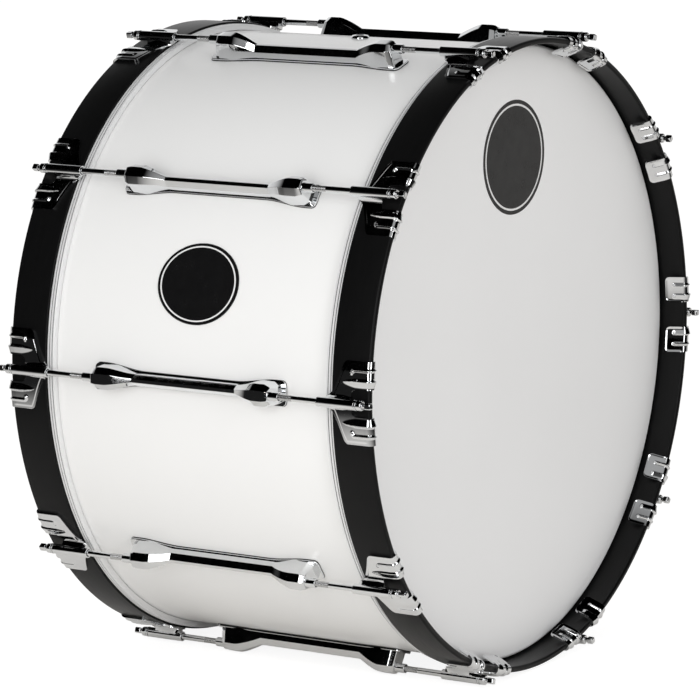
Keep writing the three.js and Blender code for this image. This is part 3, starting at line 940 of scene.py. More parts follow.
def flesh_outline(settings):
    """Half section of the flesh hoop: two thin grooves, and the step for the film's edge."""
    inner = SHELL_RADIUS + settings.flesh_gap
    step = FILM_RADIUS + settings.step_gap
    step_out = FLESH_OUTER_EDGE - settings.step_depth
    ease = settings.flesh_ease
    corners = [(inner, FLESH_INNER_EDGE), (FLESH_RADIUS, FLESH_INNER_EDGE)]
    radii = [ease / 2, ease]
    bottom = FLESH_RADIUS - settings.groove
    for distance in (settings.groove_place, settings.groove_place + settings.groove_gap):
        start = FLESH_INNER_EDGE + distance
        end = start + settings.groove
        corners += [(FLESH_RADIUS, start), (bottom, start), (bottom, end), (FLESH_RADIUS, end)]
        radii += [settings.groove / 4, 0, 0, settings.groove / 4]
    corners += [
        (FLESH_RADIUS, FLESH_OUTER_EDGE),
        (step, FLESH_OUTER_EDGE),
        (step, step_out),
        (inner, step_out),
    ]
    radii += [ease, ease / 3, 0, 0]
    return eased(corners, radii)


def hoop_outline(settings):
    """Half section of the counter hoop."""
    inner = HOOP_RADIUS - settings.thickness
    corners = [
        (inner, HOOP_INNER_EDGE),
        (HOOP_RADIUS, HOOP_INNER_EDGE),
        (HOOP_RADIUS, HOOP_OUTER_EDGE),
        (inner, HOOP_OUTER_EDGE),
    ]
    return eased(corners, [settings.inner_ease] * 2 + [settings.ease] * 2, count=5)


def ring_mesh(name, outline, segments, *materials, finish=0):
    """A ring about the drum's axis."""
    shape = Shape()
    shape.add(revolve(outline, segments), finish)
    return shape.mesh(name, materials)


# Ovals

# Where the face inside the light line has its rings, as shares of the oval's size
OVAL_RING_SHARES = (0.25, 0.5, 0.7)


def oval_mesh(name, half_width, half_height, lift, thickness, settings, finishes):
    """A thin oval with a light line: lift(x, y, rise) places a point of it."""
    edge = thickness * settings.edge
    inner_edge = 1 - edge / min(half_width, half_height)
    face_shares = [0, *OVAL_RING_SHARES, settings.line_start, settings.line_end, inner_edge]
    rows = [(part, thickness) for part in face_shares]
    rows += [(1, thickness - edge), (1, 0), (0, 0)]
    vertices = []
    rings = []
    for part, rise in rows:
        if part == 0:
            rings.append([len(vertices)] * settings.segments)
            vertices.append(lift(0, 0, rise))
            continue
        rings.append(range(len(vertices), len(vertices) + settings.segments))
        for angle in even(0, FULL_TURN, settings.segments)[:-1]:
            across = part * half_width * math.cos(angle)
            up = part * half_height * math.sin(angle)
            vertices.append(lift(across, up, rise))
    shape = Shape()
    shape.add((vertices, ring_faces(rings)))
    line = settings.segments * face_shares.index(settings.line_start)
    for index in range(line, line + settings.segments):
        shape.finishes[index] = 1
    return shape.mesh(name, finishes)


# Lugs

def lug_body_size(settings, distance):
    """Height, half base and half outer flat of a lug at a distance from its end face."""
    block_height = LUG_CREST - SHELL_RADIUS
    if distance <= settings.crest_start:
        part = max(distance, 0) / settings.crest_start
        height = block_height - settings.nose_drop * (1 - part) ** 2
        base = between(settings.nose_width, settings.block_width, part)
        return height, base, between(settings.nose_top, settings.block_top, part)
    part = (distance - settings.crest_end) / (settings.block - settings.crest_end)
    part = min(max(part, 0), 1)
    slim = (part + smooth(part, 0, 1)) / 2
    height = between(block_height, settings.bar_height, part ** settings.block_fall)
    base = between(settings.block_width, settings.bar_width, slim)
    return height, base, between(settings.block_top, settings.bar_top, slim)


def lug_section(settings, along, distance, inset):
    """One section across a lug's body, drawn in by an inset where the end face is rounded."""
    height, base, top = lug_body_size(settings, distance)
    foot = SHELL_RADIUS - settings.draft
    crest = SHELL_RADIUS + height - inset
    shoulder = SHELL_RADIUS + height - settings.bevel
    half = [
        (base - inset, foot),
        (base - settings.draft - inset, shoulder),
        (top - inset, crest),
    ]
    other = [(-across, up) for across, up in reversed(half)]
    radii = [0, settings.soft, settings.crisp, settings.crisp, settings.soft, 0]
    outline = eased([*half, *other], radii)
    fading = max(1 - distance / settings.crest_end, 0)
    lean = math.copysign(settings.slant, along) * fading / (LUG_CREST - SHELL_RADIUS)
    return [Vector((across, along - lean * (up - foot), up)) for across, up in outline]


def lug_end_rows(settings):
    """Distances from the end face, each with the inset that rounds the end face's rim."""
    rim = settings.soft
    rows = [(rim - rise, rim - back) for rise, back in quarter_arc(rim)]
    nose = even(rim, settings.crest_start, 4)[1:]
    flank = even(settings.crest_end, settings.block, 12)
    blend = settings.crisp
    flank[-1:] = [settings.block - blend, settings.block, settings.block + blend]
    return rows[::-1] + [(distance, 0) for distance in [*nose, *flank]]


def both_ends(half_length, rows, section):
    """Sections from one end of a lug to the other, from rows counted from its end face."""
    first = [section(distance - half_length, distance, inset) for distance, inset in rows]
    last = [section(half_length - distance, distance, inset) for distance, inset in rows[::-1]]
    return [*first, *last]


def plate_half_width(settings, distance):
    """Half the base plate's width at a distance from the lug's end face."""
    part = smooth(distance, settings.crest_start, settings.block + settings.crest_start)
    width = between(settings.plate_block, settings.plate_bar, part)
    past = settings.plate_corner - (distance + settings.plate_overhang)
    if past > 0:
        square = settings.plate_corner ** 2 - past ** 2
        width -= settings.plate_corner - math.sqrt(max(square, 0))
    return width


def plate_part(settings, half_length, low, high, grow, edge):
    """Base plate or gasket: a thin sheet between two heights that follows the shell."""
    end = settings.plate_overhang
    corner = even(-end, settings.plate_corner - end, 6)
    rest = even(settings.plate_corner - end, settings.block + settings.crest_start, 14)[1:]
    rows = [(distance, 0) for distance in [*corner, *rest]]

    def section(along, distance, inset):
        width = plate_half_width(settings, distance) + grow
        right = [(width, low), (width, high - edge), (width - edge, high)]
        left = [(-across, height) for across, height in reversed(right)]
        top = [(width / 2, high), (0, high), (-width / 2, high)]
        bottom = [(-width / 2, low), (0, low), (width / 2, low)]
        outline = [*right, *top, *left, *bottom]
        return [Vector((x, along, math.sqrt(z * z - x * x))) for x, z in outline]

    return loft(both_ends(half_length, rows, section))


def nut_outline(settings, half_length):
    """Half section of the swivel nut, from inside the lug to its collar's end."""
    inner_end = half_length - 2 * settings.collar
    outer_end = half_length + settings.collar + settings.nut_reach
    corners = [
        (settings.nut_bore, inner_end),
        (settings.nut, inner_end),
        (settings.nut, outer_end),
        (settings.nut_bore, outer_end),
    ]
    return eased(corners, [0, 0, settings.crisp, settings.crisp])


def screw_outline(settings):
    """Half section of a mounting screw with its washer, head inwards, as (radius, height)."""
    seat = (SHELL_RADIUS - drum_settings().shell.wall) * FLAT_SHARE - settings.screw_gap
    washer = seat - settings.screw_washer_height
    head = seat - settings.screw_head_height
    corners = [
        (0, head),
        (settings.screw_head, head),
        (settings.screw_head, washer),
        (settings.screw_washer, washer),
        (settings.screw_washer, seat),
        (settings.screw, seat),
        (settings.screw, SHELL_RADIUS),
        (0, SHELL_RADIUS),
    ]
    edge = settings.crisp
    return eased(corners, [0, edge, 0, edge / 2, edge / 2, 0, 0, 0])


def lug_mesh(drum):
    """A lug: body, base plate, gasket, two swivel nuts and two mounting screws."""
    settings = drum.lug
    half_length = NUT_END - settings.collar
    shape = Shape()

    def section(along, distance, inset):
        return lug_section(settings, along, distance, inset)

    shape.add(loft(both_ends(half_length, lug_end_rows(settings), section)))
    gasket_top = SHELL_RADIUS + settings.gasket
    plate_top = gasket_top + settings.plate
    edge = settings.plate / 3
    shape.add(plate_part(settings, half_length, gasket_top, plate_top, 0, edge))
    lift = settings.gasket_lift
    low = SHELL_RADIUS + lift
    grow = settings.gasket_reach
    shape.add(plate_part(settings, half_length, low, gasket_top, grow, lift), 1)
    nut = revolve(nut_outline(settings, half_length), TUBE_SIDES, ROD_HEIGHT)
    outline = [(radius, -height) for radius, height in screw_outline(settings)]
    screw = stood(revolve(outline, SCREW_SIDES), settings.screw_inset - half_length)
    for angle in (0, HALF_TURN):
        end = Matrix.Rotation(angle, 4, "Z")
        shape.add(nut, matrix=end)
        shape.add(screw, matrix=end)
    chrome = shared("polished_chrome", polished_chrome, settings)
    rubber = shared("black_rubber_and_groove_shade", black_rubber_and_groove_shade, settings)
    return shape.mesh("lug_form", [chrome, rubber], flat=True)


# Claws

class ClawPath:
    """The way over the hoop: along its outside, round two folds and back inside it.

    A place on it is its distance along the sheet from the hoop's shell-side edge.
    """

    def __init__(self, settings):
        self.start = HOOP_INNER_EDGE + settings.gap
        self.fold = settings.fold
        self.outside = HOOP_RADIUS + settings.gap + settings.sheet
        hoop = drum_settings().hoop
        self.inside = HOOP_RADIUS - hoop.thickness - settings.gap - settings.sheet
        quarter = self.fold * QUARTER_TURN
        self.first = FOLD_OUT - self.fold - self.start
        self.second = self.first + quarter
        self.third = self.second + self.outside - self.inside - 2 * self.fold
        self.lean = settings.flap_lean
        self.fourth = self.third + quarter - self.fold * self.lean
        self.end = self.fourth + settings.flap

    def point(self, distance):
        """Height, out, and the direction away from the hoop as (height, out)."""
        inner = self.inside + self.fold
        outer = self.outside - self.fold
        turn_out = FOLD_OUT - self.fold
        if distance <= self.first:
            return self.outside, self.start + distance, (1, 0)
        if distance <= self.second:
            angle = (distance - self.first) / self.fold
            away = (math.cos(angle), math.sin(angle))
            return outer + self.fold * away[0], turn_out + self.fold * away[1], away
        if distance <= self.third:
            return outer - (distance - self.second), FOLD_OUT, (0, 1)
        if distance <= self.fourth:
            angle = (distance - self.third) / self.fold
            away = (-math.sin(angle), math.cos(angle))
            return inner + self.fold * away[0], turn_out + self.fold * away[1], away
        past = distance - self.fourth
        away = (-math.cos(self.lean), math.sin(self.lean))
        height = inner + self.fold * away[0] - past * away[1]
        return height, turn_out + self.fold * away[1] + past * away[0], away


class Claw:
    """The claw's sheet, drawn flat by distance along the path and across from its middle."""

    def __init__(self, settings):
        self.settings = settings
        self.path = ClawPath(settings)
        self.notch = HOOP_OUTER_EDGE - settings.notch_depth - self.path.start
        self.corner_end = self.notch + settings.notch_corner
        self.press_end = self.path.fourth + settings.pressing

    def outer(self, distance):
        """Half the sheet's width."""
        s = self.settings
        if distance <= s.flank:
            return between(s.neck, s.flank_width, (distance / s.flank) ** s.flank_bend)
        if distance <= s.corner:
            part = (distance - s.flank) / (s.corner - s.flank)
            return between(s.flank_width, CLAW_HALF_WIDTH, 1 - (1 - part) ** 2)
        return CLAW_HALF_WIDTH - self.flap_ease(distance)

    def inner(self, distance):
        """From the middle to the notch's edge."""
        s = self.settings
        if distance < self.corner_end:
            past = self.corner_end - distance
            width = s.notch_corner - math.sqrt(max(s.notch_corner ** 2 - past ** 2, 0))
            return s.notch - width
        return s.notch + self.flap_ease(distance)

    def flap_ease(self, distance):
        """How far the flap's rounded corners draw in its sides."""
        corner = self.settings.flap_corner
        past = distance - (self.path.end - corner)
        if past <= 0:
            return 0
        return corner - math.sqrt(max(corner ** 2 - past ** 2, 0))

    def raised(self, distance, across):
        """How far the sheet is pressed out at a place."""
        s = self.settings
        ending = 1 - smooth(distance, self.press_end - s.pressing_fade, self.press_end)
        pressed = ending * max(self.bead(distance, across), self.pad(distance, across))
        return self.field(distance, across) + self.rim(distance, across) + pressed

    def field(self, distance, across):
        """The raised field inside the wing's flat border."""
        s = self.settings
        flank = self.outer(distance)
        if distance >= s.flank:
            # Past its end the flank's straight line carries on
            flank = between(s.neck, s.flank_width, distance / s.flank)
        slope = Vector((s.flank, s.neck - s.flank_width)).normalized()
        border = min(CLAW_HALF_WIDTH - across, (flank - across) * slope.x)
        rise = smooth(border, s.border - s.field_blend, s.border + s.field_blend)
        ending = smooth(distance, self.path.first - s.field_fade, self.path.first)
        return s.field * rise * (1 - ending)

    def rim(self, distance, across):
        """The flap's border, turned up a little."""
        s = self.settings
        past = distance - self.path.fourth
        if past <= 0:
            return 0
        sides = min(self.outer(distance) - across, across - self.inner(distance))
        border = min(sides, self.path.end - distance)
        return s.rim * (1 - smooth(border, 0, s.rim_width)) * smooth(past, 0, s.rim_start)

    def bead(self, distance, across):
        """The bead that hooks in at its shell-side end."""
        s = self.settings
        centre = s.bead_place - s.bead_hook
        bend = s.bead_start
        if distance >= bend:
            away = abs(across - s.bead_place)
        elif across >= centre:
            away = abs(math.hypot(across - centre, distance - bend) - s.bead_hook)
        else:
            away = math.hypot(across - centre, distance - bend + s.bead_hook)
        return s.bead * (1 - smooth(away, 0, s.bead_width))

    def pad(self, distance, across):
        """The leaf: a face that rises gently away from the rod, then a steep edge."""
        s = self.settings
        if distance <= s.pad_start:
            return 0
        part = (distance - s.pad_start) / (self.path.first - s.pad_start)
        past_fold = smooth(distance, self.path.second, self.path.fourth)
        growth = min(math.sqrt(part * s.pad_growth), 1) * between(1, s.pad_on_flap, past_fold)
        edge = s.pad_edge - s.pad_width * (1 - growth) * s.pad_shift
        spot = (edge - across) / (s.pad_width * growth)
        if spot <= 0 or spot >= 1:
            return 0
        if spot <= s.pad_steep:
            return s.pad * growth * smooth(spot, 0, s.pad_steep)
        return s.pad * growth * (1 - spot) / (1 - s.pad_steep)

    def place(self, distance, across):
        """The point on the sheet's outer face."""
        height, out, away = self.path.point(distance)
        lift = self.raised(distance, abs(across))
        height += away[0] * lift
        out += away[1] * lift
        return Vector((across, -out, math.sqrt(height ** 2 - across ** 2)))

    def band(self, rows, start, end, shares):
        """A strip of the sheet between two edges that depend on the distance."""
        def spot(row, part):
            return self.place(row, between(start(row), end(row), part))
        return patch(rows, shares, spot)


# Columns across a wing as shares of its width, closest where the pad and the bead rise
WING_SHARES = (
    *even(0, 0.24, 10), *even(0.24, 0.36, 7)[1:], *even(0.36, 0.58, 6)[1:],
    *even(0.58, 0.78, 12)[1:], *even(0.78, 1, 9)[1:],
)

# Rows round the notch's corner and round the flap's corner, as shares of the corner's radius
NOTCH_CORNER_SHARES = (0, 0.1, 0.22, 0.4, 0.6, 0.8, 1)
FLAP_CORNER_SHARES = (0.3, 0.55, 0.75, 0.9, 1)

# Where the bands beside the web start, as a share of the neck, and how much of the wing's root
# they take
ROOT_START_SHARE = 0.45
ROOT_BAND_SHARE = 0.3

# Edges of the sheet that turn by more than this are rounded
EDGE_TURN = math.radians(55)


def claw_sheet(settings):
    """The claw's sheet: a wing and a flap on each side of the notch."""
    claw = Claw(settings)
    path = claw.path
    notch_start = settings.notch - settings.notch_corner
    root = even(0, claw.notch, 34)
    corner = [claw.notch + settings.notch_corner * part for part in NOTCH_CORNER_SHARES]
    wing = even(claw.corner_end, path.first, 12)
    folds = even(path.first, path.second, 8)[1:] + even(path.third, path.fourth, 7)
    corner_start = path.end - settings.flap_corner
    flap = even(path.fourth, corner_start, 15)[1:]
    flap += [corner_start + settings.flap_corner * part for part in FLAP_CORNER_SHARES]

    def middle(row):
        return 0

    def first(row):
        start = settings.neck * ROOT_START_SHARE
        return between(start, notch_start, min(row / claw.notch, 1))

    def second(row):
        return min(settings.notch, between(first(row), claw.outer(row), ROOT_BAND_SHARE))

    def notch_side(row):
        return settings.notch

    bands = [
        claw.band(root, middle, first, even(0, 1, 6)),
        claw.band(root, first, second, even(0, 1, 5)),
        claw.band(root, second, claw.outer, WING_SHARES),
        claw.band(corner, claw.inner, notch_side, even(0, 1, 5)),
        claw.band(corner, notch_side, claw.outer, WING_SHARES),
        claw.band([*wing, *folds, *flap], claw.inner, claw.outer, WING_SHARES),
    ]
    shape = Shape()
    for band in bands:
        shape.add(band)
        shape.add(mirrored(band))
    flat = shape.mesh("claw_sheet", [], outward=False)
    thicken = {"thickness": settings.sheet, "offset": -1, "use_even_offset": True}
    rounding = {
        "width": settings.sheet_edge,
        "segments": 3,
        "limit_method": "ANGLE",
        "angle_limit": EDGE_TURN,
        "use_clamp_overlap": True,
    }
    return with_modifiers(flat, [("SOLIDIFY", thicken), ("BEVEL", rounding)])


def web_section(settings, out, toe):
    """Section of the web that joins the tube to the sheet, hollow side towards the tube."""
    plate = HOOP_RADIUS + settings.gap + settings.sheet
    wall = (settings.tube + settings.tube_bore) / 2
    rise = ROD_HEIGHT - plate - wall * settings.web_join
    right = []
    for part in even(0, 1, 8):
        across = between(toe, wall, part)
        foot = math.sqrt(plate ** 2 - across ** 2) - settings.web_sink
        right.append((across, foot + rise * part ** settings.web_sweep))
    cradle = []
    for angle in even(settings.cradle, HALF_TURN - settings.cradle, 8):
        cradle.append((wall * math.cos(angle), ROD_HEIGHT - wall * math.sin(angle)))
    left = [(-across, height) for across, height in reversed(right)]
    buried = plate - settings.sheet / 2
    outline = [(toe, buried), *right, *cradle, *left, (-toe, buried)]
    return [Vector((across, -out, height)) for across, height in outline]


def claw_web(settings):
    """The web under the tube, from beside the flesh hoop to the notch."""
    start = HOOP_INNER_EDGE + settings.gap
    end = HOOP_OUTER_EDGE - settings.notch_depth
    notch_start = settings.notch - settings.notch_corner
    inside = settings.gap
    sections = []
    for part in even(0, 1, 4)[:-1]:
        toe = between(settings.web_toe, settings.neck - inside, part)
        out = between(start - settings.web_overhang, start, part)
        sections.append(web_section(settings, out, toe))
    for part in even(0, 1, 10):
        toe = between(settings.neck, settings.web, smooth(part, 0, settings.web_widening))
        toe = between(toe, notch_start, smooth(part, settings.web_flare, 1))
        sections.append(web_section(settings, between(start, end, part), toe - inside))
    return loft(sections)


def claw_mesh(drum):
    """A double claw with its tube."""
    settings = drum.claw
    tube_end = HOOP_OUTER_EDGE - settings.tube_setback
    corners = [
        (settings.tube_bore, TUBE_INNER_END),
        (settings.tube, TUBE_INNER_END),
        (settings.tube, tube_end),
        (settings.tube_bore, tube_end),
    ]
    tube = revolve(eased(corners, [settings.edge] * 4), TUBE_SIDES, ROD_HEIGHT)
    shape = Shape()
    shape.add(as_part(claw_sheet(settings)))
    shape.add(claw_web(settings))
    shape.add(tube)
    chrome = shared("polished_chrome", polished_chrome, drum.lug)
    return shape.mesh("claw_form", [chrome], sharp=38, flat=True)


# Rods

ROWS_PER_THREAD_TURN = 4


def thread_part(settings):
    """The threaded part of a rod, a real helix."""
    run_out = ROWS_PER_THREAD_TURN
    rows = round(settings.thread / settings.pitch * ROWS_PER_THREAD_TURN)
    sections = []
    for row in range(rows + 1):
        out = ROD_TIP + settings.thread * row / rows
        ending = smooth(row, 0, run_out) * (1 - smooth(row, rows - run_out, rows))
        section = []
        for turned in even(0, 1, SMALL_SIDES)[:-1]:
            phase = (out / settings.pitch + turned) % 1
            radius = settings.shaft - settings.thread_depth * abs(2 * phase - 1) * ending
            across = radius * math.sin(FULL_TURN * turned)
            height = ROD_HEIGHT + radius * math.cos(FULL_TURN * turned)
            section.append(Vector((across, -out, height)))
        sections.append(section)
    return loft(sections)


def key_part(settings, start, end):
    """The square end that a drum key turns, its edges and its two ends eased."""
    edge = settings.key_edge
    rows = [(edge - rise, edge - back) for rise, back in quarter_arc(edge)]
    ends = [(start + rise, inset) for rise, inset in reversed(rows)]
    ends += [(end - rise, inset) for rise, inset in rows]
    sections = []
    for out, inset in ends:
        side = settings.key / 2 - inset
        corners = [(side, side), (side, -side), (-side, -side), (-side, side)]
        outline = eased(corners, [edge] * 4)
        sections.append([Vector((x, -out, ROD_HEIGHT + z)) for x, z in outline])
    return loft(sections)


def rod_mesh(drum):
    """A tension rod: thread, shaft, loose washer, collar and square end."""
    settings = drum.rod
    tube_end = HOOP_OUTER_EDGE - drum.claw.tube_setback
    washer_start = tube_end + settings.washer_place
    washer_end = washer_start + settings.washer_thickness
    collar_end = washer_start + settings.head
    key_start = collar_end + settings.neck_length
    collar_start = washer_end + settings.waist_length
    edge = settings.collar_edge
    fine = edge / 2
    thread_end = ROD_TIP + settings.thread - settings.pitch
    corners = [
        (0, thread_end),
        (settings.shaft, thread_end),
        (settings.shaft, washer_start),
        (settings.washer, washer_start),
        (settings.washer, washer_end),
        (settings.waist, washer_end),
        (settings.waist, collar_start),
        (settings.collar, collar_start),
        (settings.collar, collar_end),
        (settings.neck, collar_end),
        (settings.neck, key_start + edge),
        (0, key_start + edge),
    ]
    radii = [0, 0, 0, fine, fine, 0, 0, fine, settings.collar_round, fine, 0, 0]
    shape = Shape()
    shape.add(revolve(eased(corners, radii), TUBE_SIDES, ROD_HEIGHT))
    shape.add(key_part(settings, key_start, KEY_END))
    shape.add(thread_part(settings), 1)
    chrome = shared("polished_chrome", polished_chrome, drum.lug)
    return shape.mesh("rod_form", [chrome, thread_steel(settings)], flat=True)


# Stage

# How far the camera sees, in metres
CAMERA_REACH = 100


def make_camera(settings):
    """The camera at the viewing angle, from its direction round the drum's middle."""
    aim = Matrix.Rotation(settings.azimuth, 4, "Z")
    aim @= Matrix.Rotation(QUARTER_TURN - settings.elevation, 4, "X")
    aim @= Matrix.Translation((0, 0, settings.distance))
    aim @= Matrix.Rotation(settings.roll, 4, "Z")
    data = bpy.data.cameras.new("camera")
    data.lens = settings.lens
    data.shift_x = settings.shift_x
    data.shift_y = settings.shift_y
    data.clip_end = CAMERA_REACH
    camera = bpy.data.objects.new("camera", data)
    bpy.context.scene.collection.objects.link(camera)
    camera.matrix_world = Matrix.Translation((0, 0, AXIS_HEIGHT)) @ aim
    bpy.context.scene.camera = camera


class Shading(Nodes):
    """The nodes of the floor or of the world, from an empty tree on."""

    def __init__(self, tree):
        super().__init__(tree)
        tree.nodes.clear()

    def ramp(self, value, start, end):
        """Goes from 0 to 1, gently, as a value goes from start to end."""
        made = self.node("MapRange", interpolation_type="SMOOTHSTEP")
        self.join(value, made.inputs["Value"])
        made.inputs["From Min"].default_value = start
        made.inputs["From Max"].default_value = end
        return made.outputs["Result"]

    def light(self, kind, strength, colour=None):
        """A node that gives light, its strength an output or a number."""
        made = self.node(kind)
        if isinstance(strength, (int, float)):
            made.inputs["Strength"].default_value = strength
        else:
            self.join(strength, made.inputs["Strength"])
        if colour:
            made.inputs["Color"].default_value = colour
        return made.outputs[0]

    def matt(self, colour):
        """A matt surface."""
        made = self.node("BsdfDiffuse")
        made.inputs["Color"].default_value = colour
        return made.outputs[0]

    def along(self, vector, direction):
        """How far a vector reaches in a direction."""
        made = self.node("VectorMath", operation="DOT_PRODUCT")
        self.join(vector, made.inputs[0])
        made.inputs[1].default_value = direction
        return made.outputs["Value"]

    def mix(self, amount, first, second):
        """Two shaders, the second by an amount."""
        made = self.node("MixShader")
        self.join(amount, made.inputs["Fac"])
        self.join(first, made.inputs[1])
        self.join(second, made.inputs[2])
        return made.outputs[0]


# Towards the pale backdrop, which stands behind the drum as the camera sees it, and towards a dim
# panel over the camera that gloss alone shows
BACKDROP = (0.79, 0.613, 0.0)
PANEL = (-0.62, -0.45, 0.64)

# How far a direction reaches towards the backdrop or the panel where each starts to show, and
# where it is full
BACKDROP_START = 0.4
BACKDROP_FULL = 0.8
PANEL_START = 0.84
PANEL_FULL = 0.97

# How steeply up a direction points where the backdrop starts to end, and where it has ended
BACKDROP_TOP = 0.48
BACKDROP_END = 0.74

# From the drum towards the backdrop, in metres: here the floor starts to stay bright for gloss,
# and here it is as bright as near the drum
BRIGHT_START = 0.3
BRIGHT_FULL = 0.7

FLOOR_COLOUR = (0.93, 0.91, 0.88, 1)
# Painted shade: reflections see the floor this dark far from the drum, away from the backdrop
FLOOR_SHADE_IN_REFLECTIONS = (0.02, 0.02, 0.02, 1)


def make_floor(settings):
    """A pale floor. The camera sees it white but for the drum's shadow."""
    half = settings.floor
    corners = [(-half, -half, 0), (half, -half, 0), (half, half, 0), (-half, half, 0)]
    mesh = bpy.data.meshes.new("floor")
    mesh.from_pydata(corners, [], [(0, 1, 2, 3)])
    floor = bpy.data.objects.new("floor", mesh)
    bpy.context.scene.collection.objects.link(floor)
    material = bpy.data.materials.new("pale_floor")
    material.use_nodes = True
    mesh.materials.append(material)
    shading = Shading(material.node_tree)
    path = shading.node("LightPath")
    spot = shading.node("NewGeometry").outputs["Position"]
    distance = shading.node("VectorMath", operation="LENGTH")
    shading.join(spot, distance.inputs[0])
    far = shading.ramp(distance.outputs["Value"], settings.near, settings.far)
    bright = shading.ramp(shading.along(spot, BACKDROP), BRIGHT_START, BRIGHT_FULL)
    hidden = shading.value("MULTIPLY", far, shading.value("SUBTRACT", 1, bright))
    unlit = shading.value("MULTIPLY", hidden, path.outputs["Is Glossy Ray"])
    # In reflections the far floor is painted dark as shade; near the drum and towards the backdrop
    # it stays pale
    ground = shading.mix(unlit, shading.matt(FLOOR_COLOUR), shading.matt(FLOOR_SHADE_IN_REFLECTIONS))
    seen = shading.value("MULTIPLY", path.outputs["Is Camera Ray"], settings.floor_glow)
    glow = shading.light("Emission", settings.floor_white, WHITE)
    output = shading.node("OutputMaterial")
    shading.join(shading.mix(seen, ground, glow), output.inputs["Surface"])


def make_world(settings):
    """White for the camera, an even light for matt surfaces, and for gloss a dark room.

    The dark room has the pale backdrop and the dim panel in it.
    """
    world = bpy.data.worlds.new("studio")
    bpy.context.scene.world = world
    world.use_nodes = True
    shading = Shading(world.node_tree)
    direction = shading.node("TexCoord").outputs["Generated"]
    height = shading.along(direction, (0, 0, 1))
    rise = shading.ramp(height, 0, 1)
    fall = shading.value("MULTIPLY", rise, settings.side_light - settings.top_light)
    even_light = shading.value("SUBTRACT", settings.side_light, fall)
    backdrop = shading.ramp(shading.along(direction, BACKDROP), BACKDROP_START, BACKDROP_FULL)
    over_top = shading.ramp(height, BACKDROP_TOP, BACKDROP_END)
    behind = shading.value("MULTIPLY", backdrop, shading.value("SUBTRACT", 1, over_top))
    panel = shading.ramp(shading.along(direction, PANEL), PANEL_START, PANEL_FULL)
    above = shading.value("MULTIPLY", panel, settings.panel_light)
    soft = shading.light("Background", even_light)
    room = shading.light("Background", shading.value("ADD", behind, above))
    white = shading.light("Background", 1, WHITE)
    path = shading.node("LightPath")
    lit = shading.mix(path.outputs["Is Glossy Ray"], soft, room)
    seen = shading.value(
        "MAXIMUM", path.outputs["Is Camera Ray"], path.outputs["Is Transmission Ray"]
    )
    output = shading.node("OutputWorld")
    shading.join(shading.mix(seen, lit, white), output.inputs["Surface"])


# Where the two tall soft lamps stand: on the badge's side of the shell, and in front of the drum
# towards that same side
SIDE_LAMP_PLACE = (-1.95, -0.30, 0.80)
FRONT_LAMP_PLACE = (-1.10, -1.70, 0.80)


def make_lamp(name, power, place, settings):
    """A tall soft lamp that faces the drum's middle."""
    data = bpy.data.lights.new(name, "AREA")
    data.shape = "RECTANGLE"
    data.size = settings.lamp_width
    data.size_y = settings.lamp_height
    data.energy = power
    lamp = bpy.data.objects.new(name, data)
    bpy.context.scene.collection.objects.link(lamp)
    lamp.location = place
    towards = Vector((0, 0, place[2])) - Vector(place)
    lamp.rotation_euler = towards.to_track_quat("-Z", "Y").to_euler()
    lamp.visible_camera = False


# Operators

def finish_piece(piece, body, slot, *nodes):
    """Ties a piece to its body and hides the nodes that it stands for. Its slot is not used."""
    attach(piece, body)
    if nodes:
        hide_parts(*nodes)


class DRUM_OT_shell(bpy.types.Operator):
    """Make the wooden shell with its bearing edges"""

    bl_idname = "drum.shell"
    bl_label = "Shell"

    def execute(self, context):
        piece = place("shell_skin", shell_mesh(context.scene.drum))
        finish_piece(piece, "shell_assembly", "shell_finish", "shell")
        return {"FINISHED"}


class DRUM_OT_lugs(bpy.types.Operator):
    """Make the ten lugs"""

    bl_idname = "drum.lugs"
    bl_label = "Lugs"

    def execute(self, context):
        mesh = lug_mesh(context.scene.drum)
        for number, angle in stations():
            piece = place(f"lug_{number}_form", mesh, angle)
            finish_piece(piece, "shell_assembly", "chrome", f"lug_{number}")
        return {"FINISHED"}


class DRUM_OT_vent(bpy.types.Operator):
    """Make the vent grommet"""

    bl_idname = "drum.vent"
    bl_label = "Vent"

    def execute(self, context):
        piece = place("vent_grommet_form", vent_mesh(context.scene.drum))
        finish_piece(piece, "shell_assembly", "chrome", "vent_grommet")
        return {"FINISHED"}


class DRUM_OT_ovals(bpy.types.Operator):
    """Make the blank ovals on the shell and on the front head"""

    bl_idname = "drum.ovals"
    bl_label = "Ovals"

    def execute(self, context):
        settings = context.scene.drum.badge
        finishes = [black_enamel(settings), light_line(settings)]
        foot = SHELL_RADIUS + settings.gap

        def on_shell(along, around, rise):
            height = foot + rise
            return Vector((around, -along, math.sqrt(height ** 2 - around ** 2)))

        badge = oval_mesh(
            "shell_badge_form", BADGE_HALF_LENGTH, settings.half_height, on_shell,
            settings.thickness, settings, finishes,
        )
        piece = place("shell_badge_form", badge, settings.place)
        finish_piece(piece, "shell_assembly", "badge_enamel", "shell_badge")

        def on_head(across, up, rise):
            side = settings.head_side + across
            return Vector((side, -(FILM_FACE + rise), settings.head_height + up))

        oval = oval_mesh(
            "head_oval", settings.head_half_width, settings.head_half_height, on_head,
            settings.head_thickness, settings, finishes,
        )
        finish_piece(place("head_oval", oval), "front_hoop_assembly", "badge_enamel")
        return {"FINISHED"}


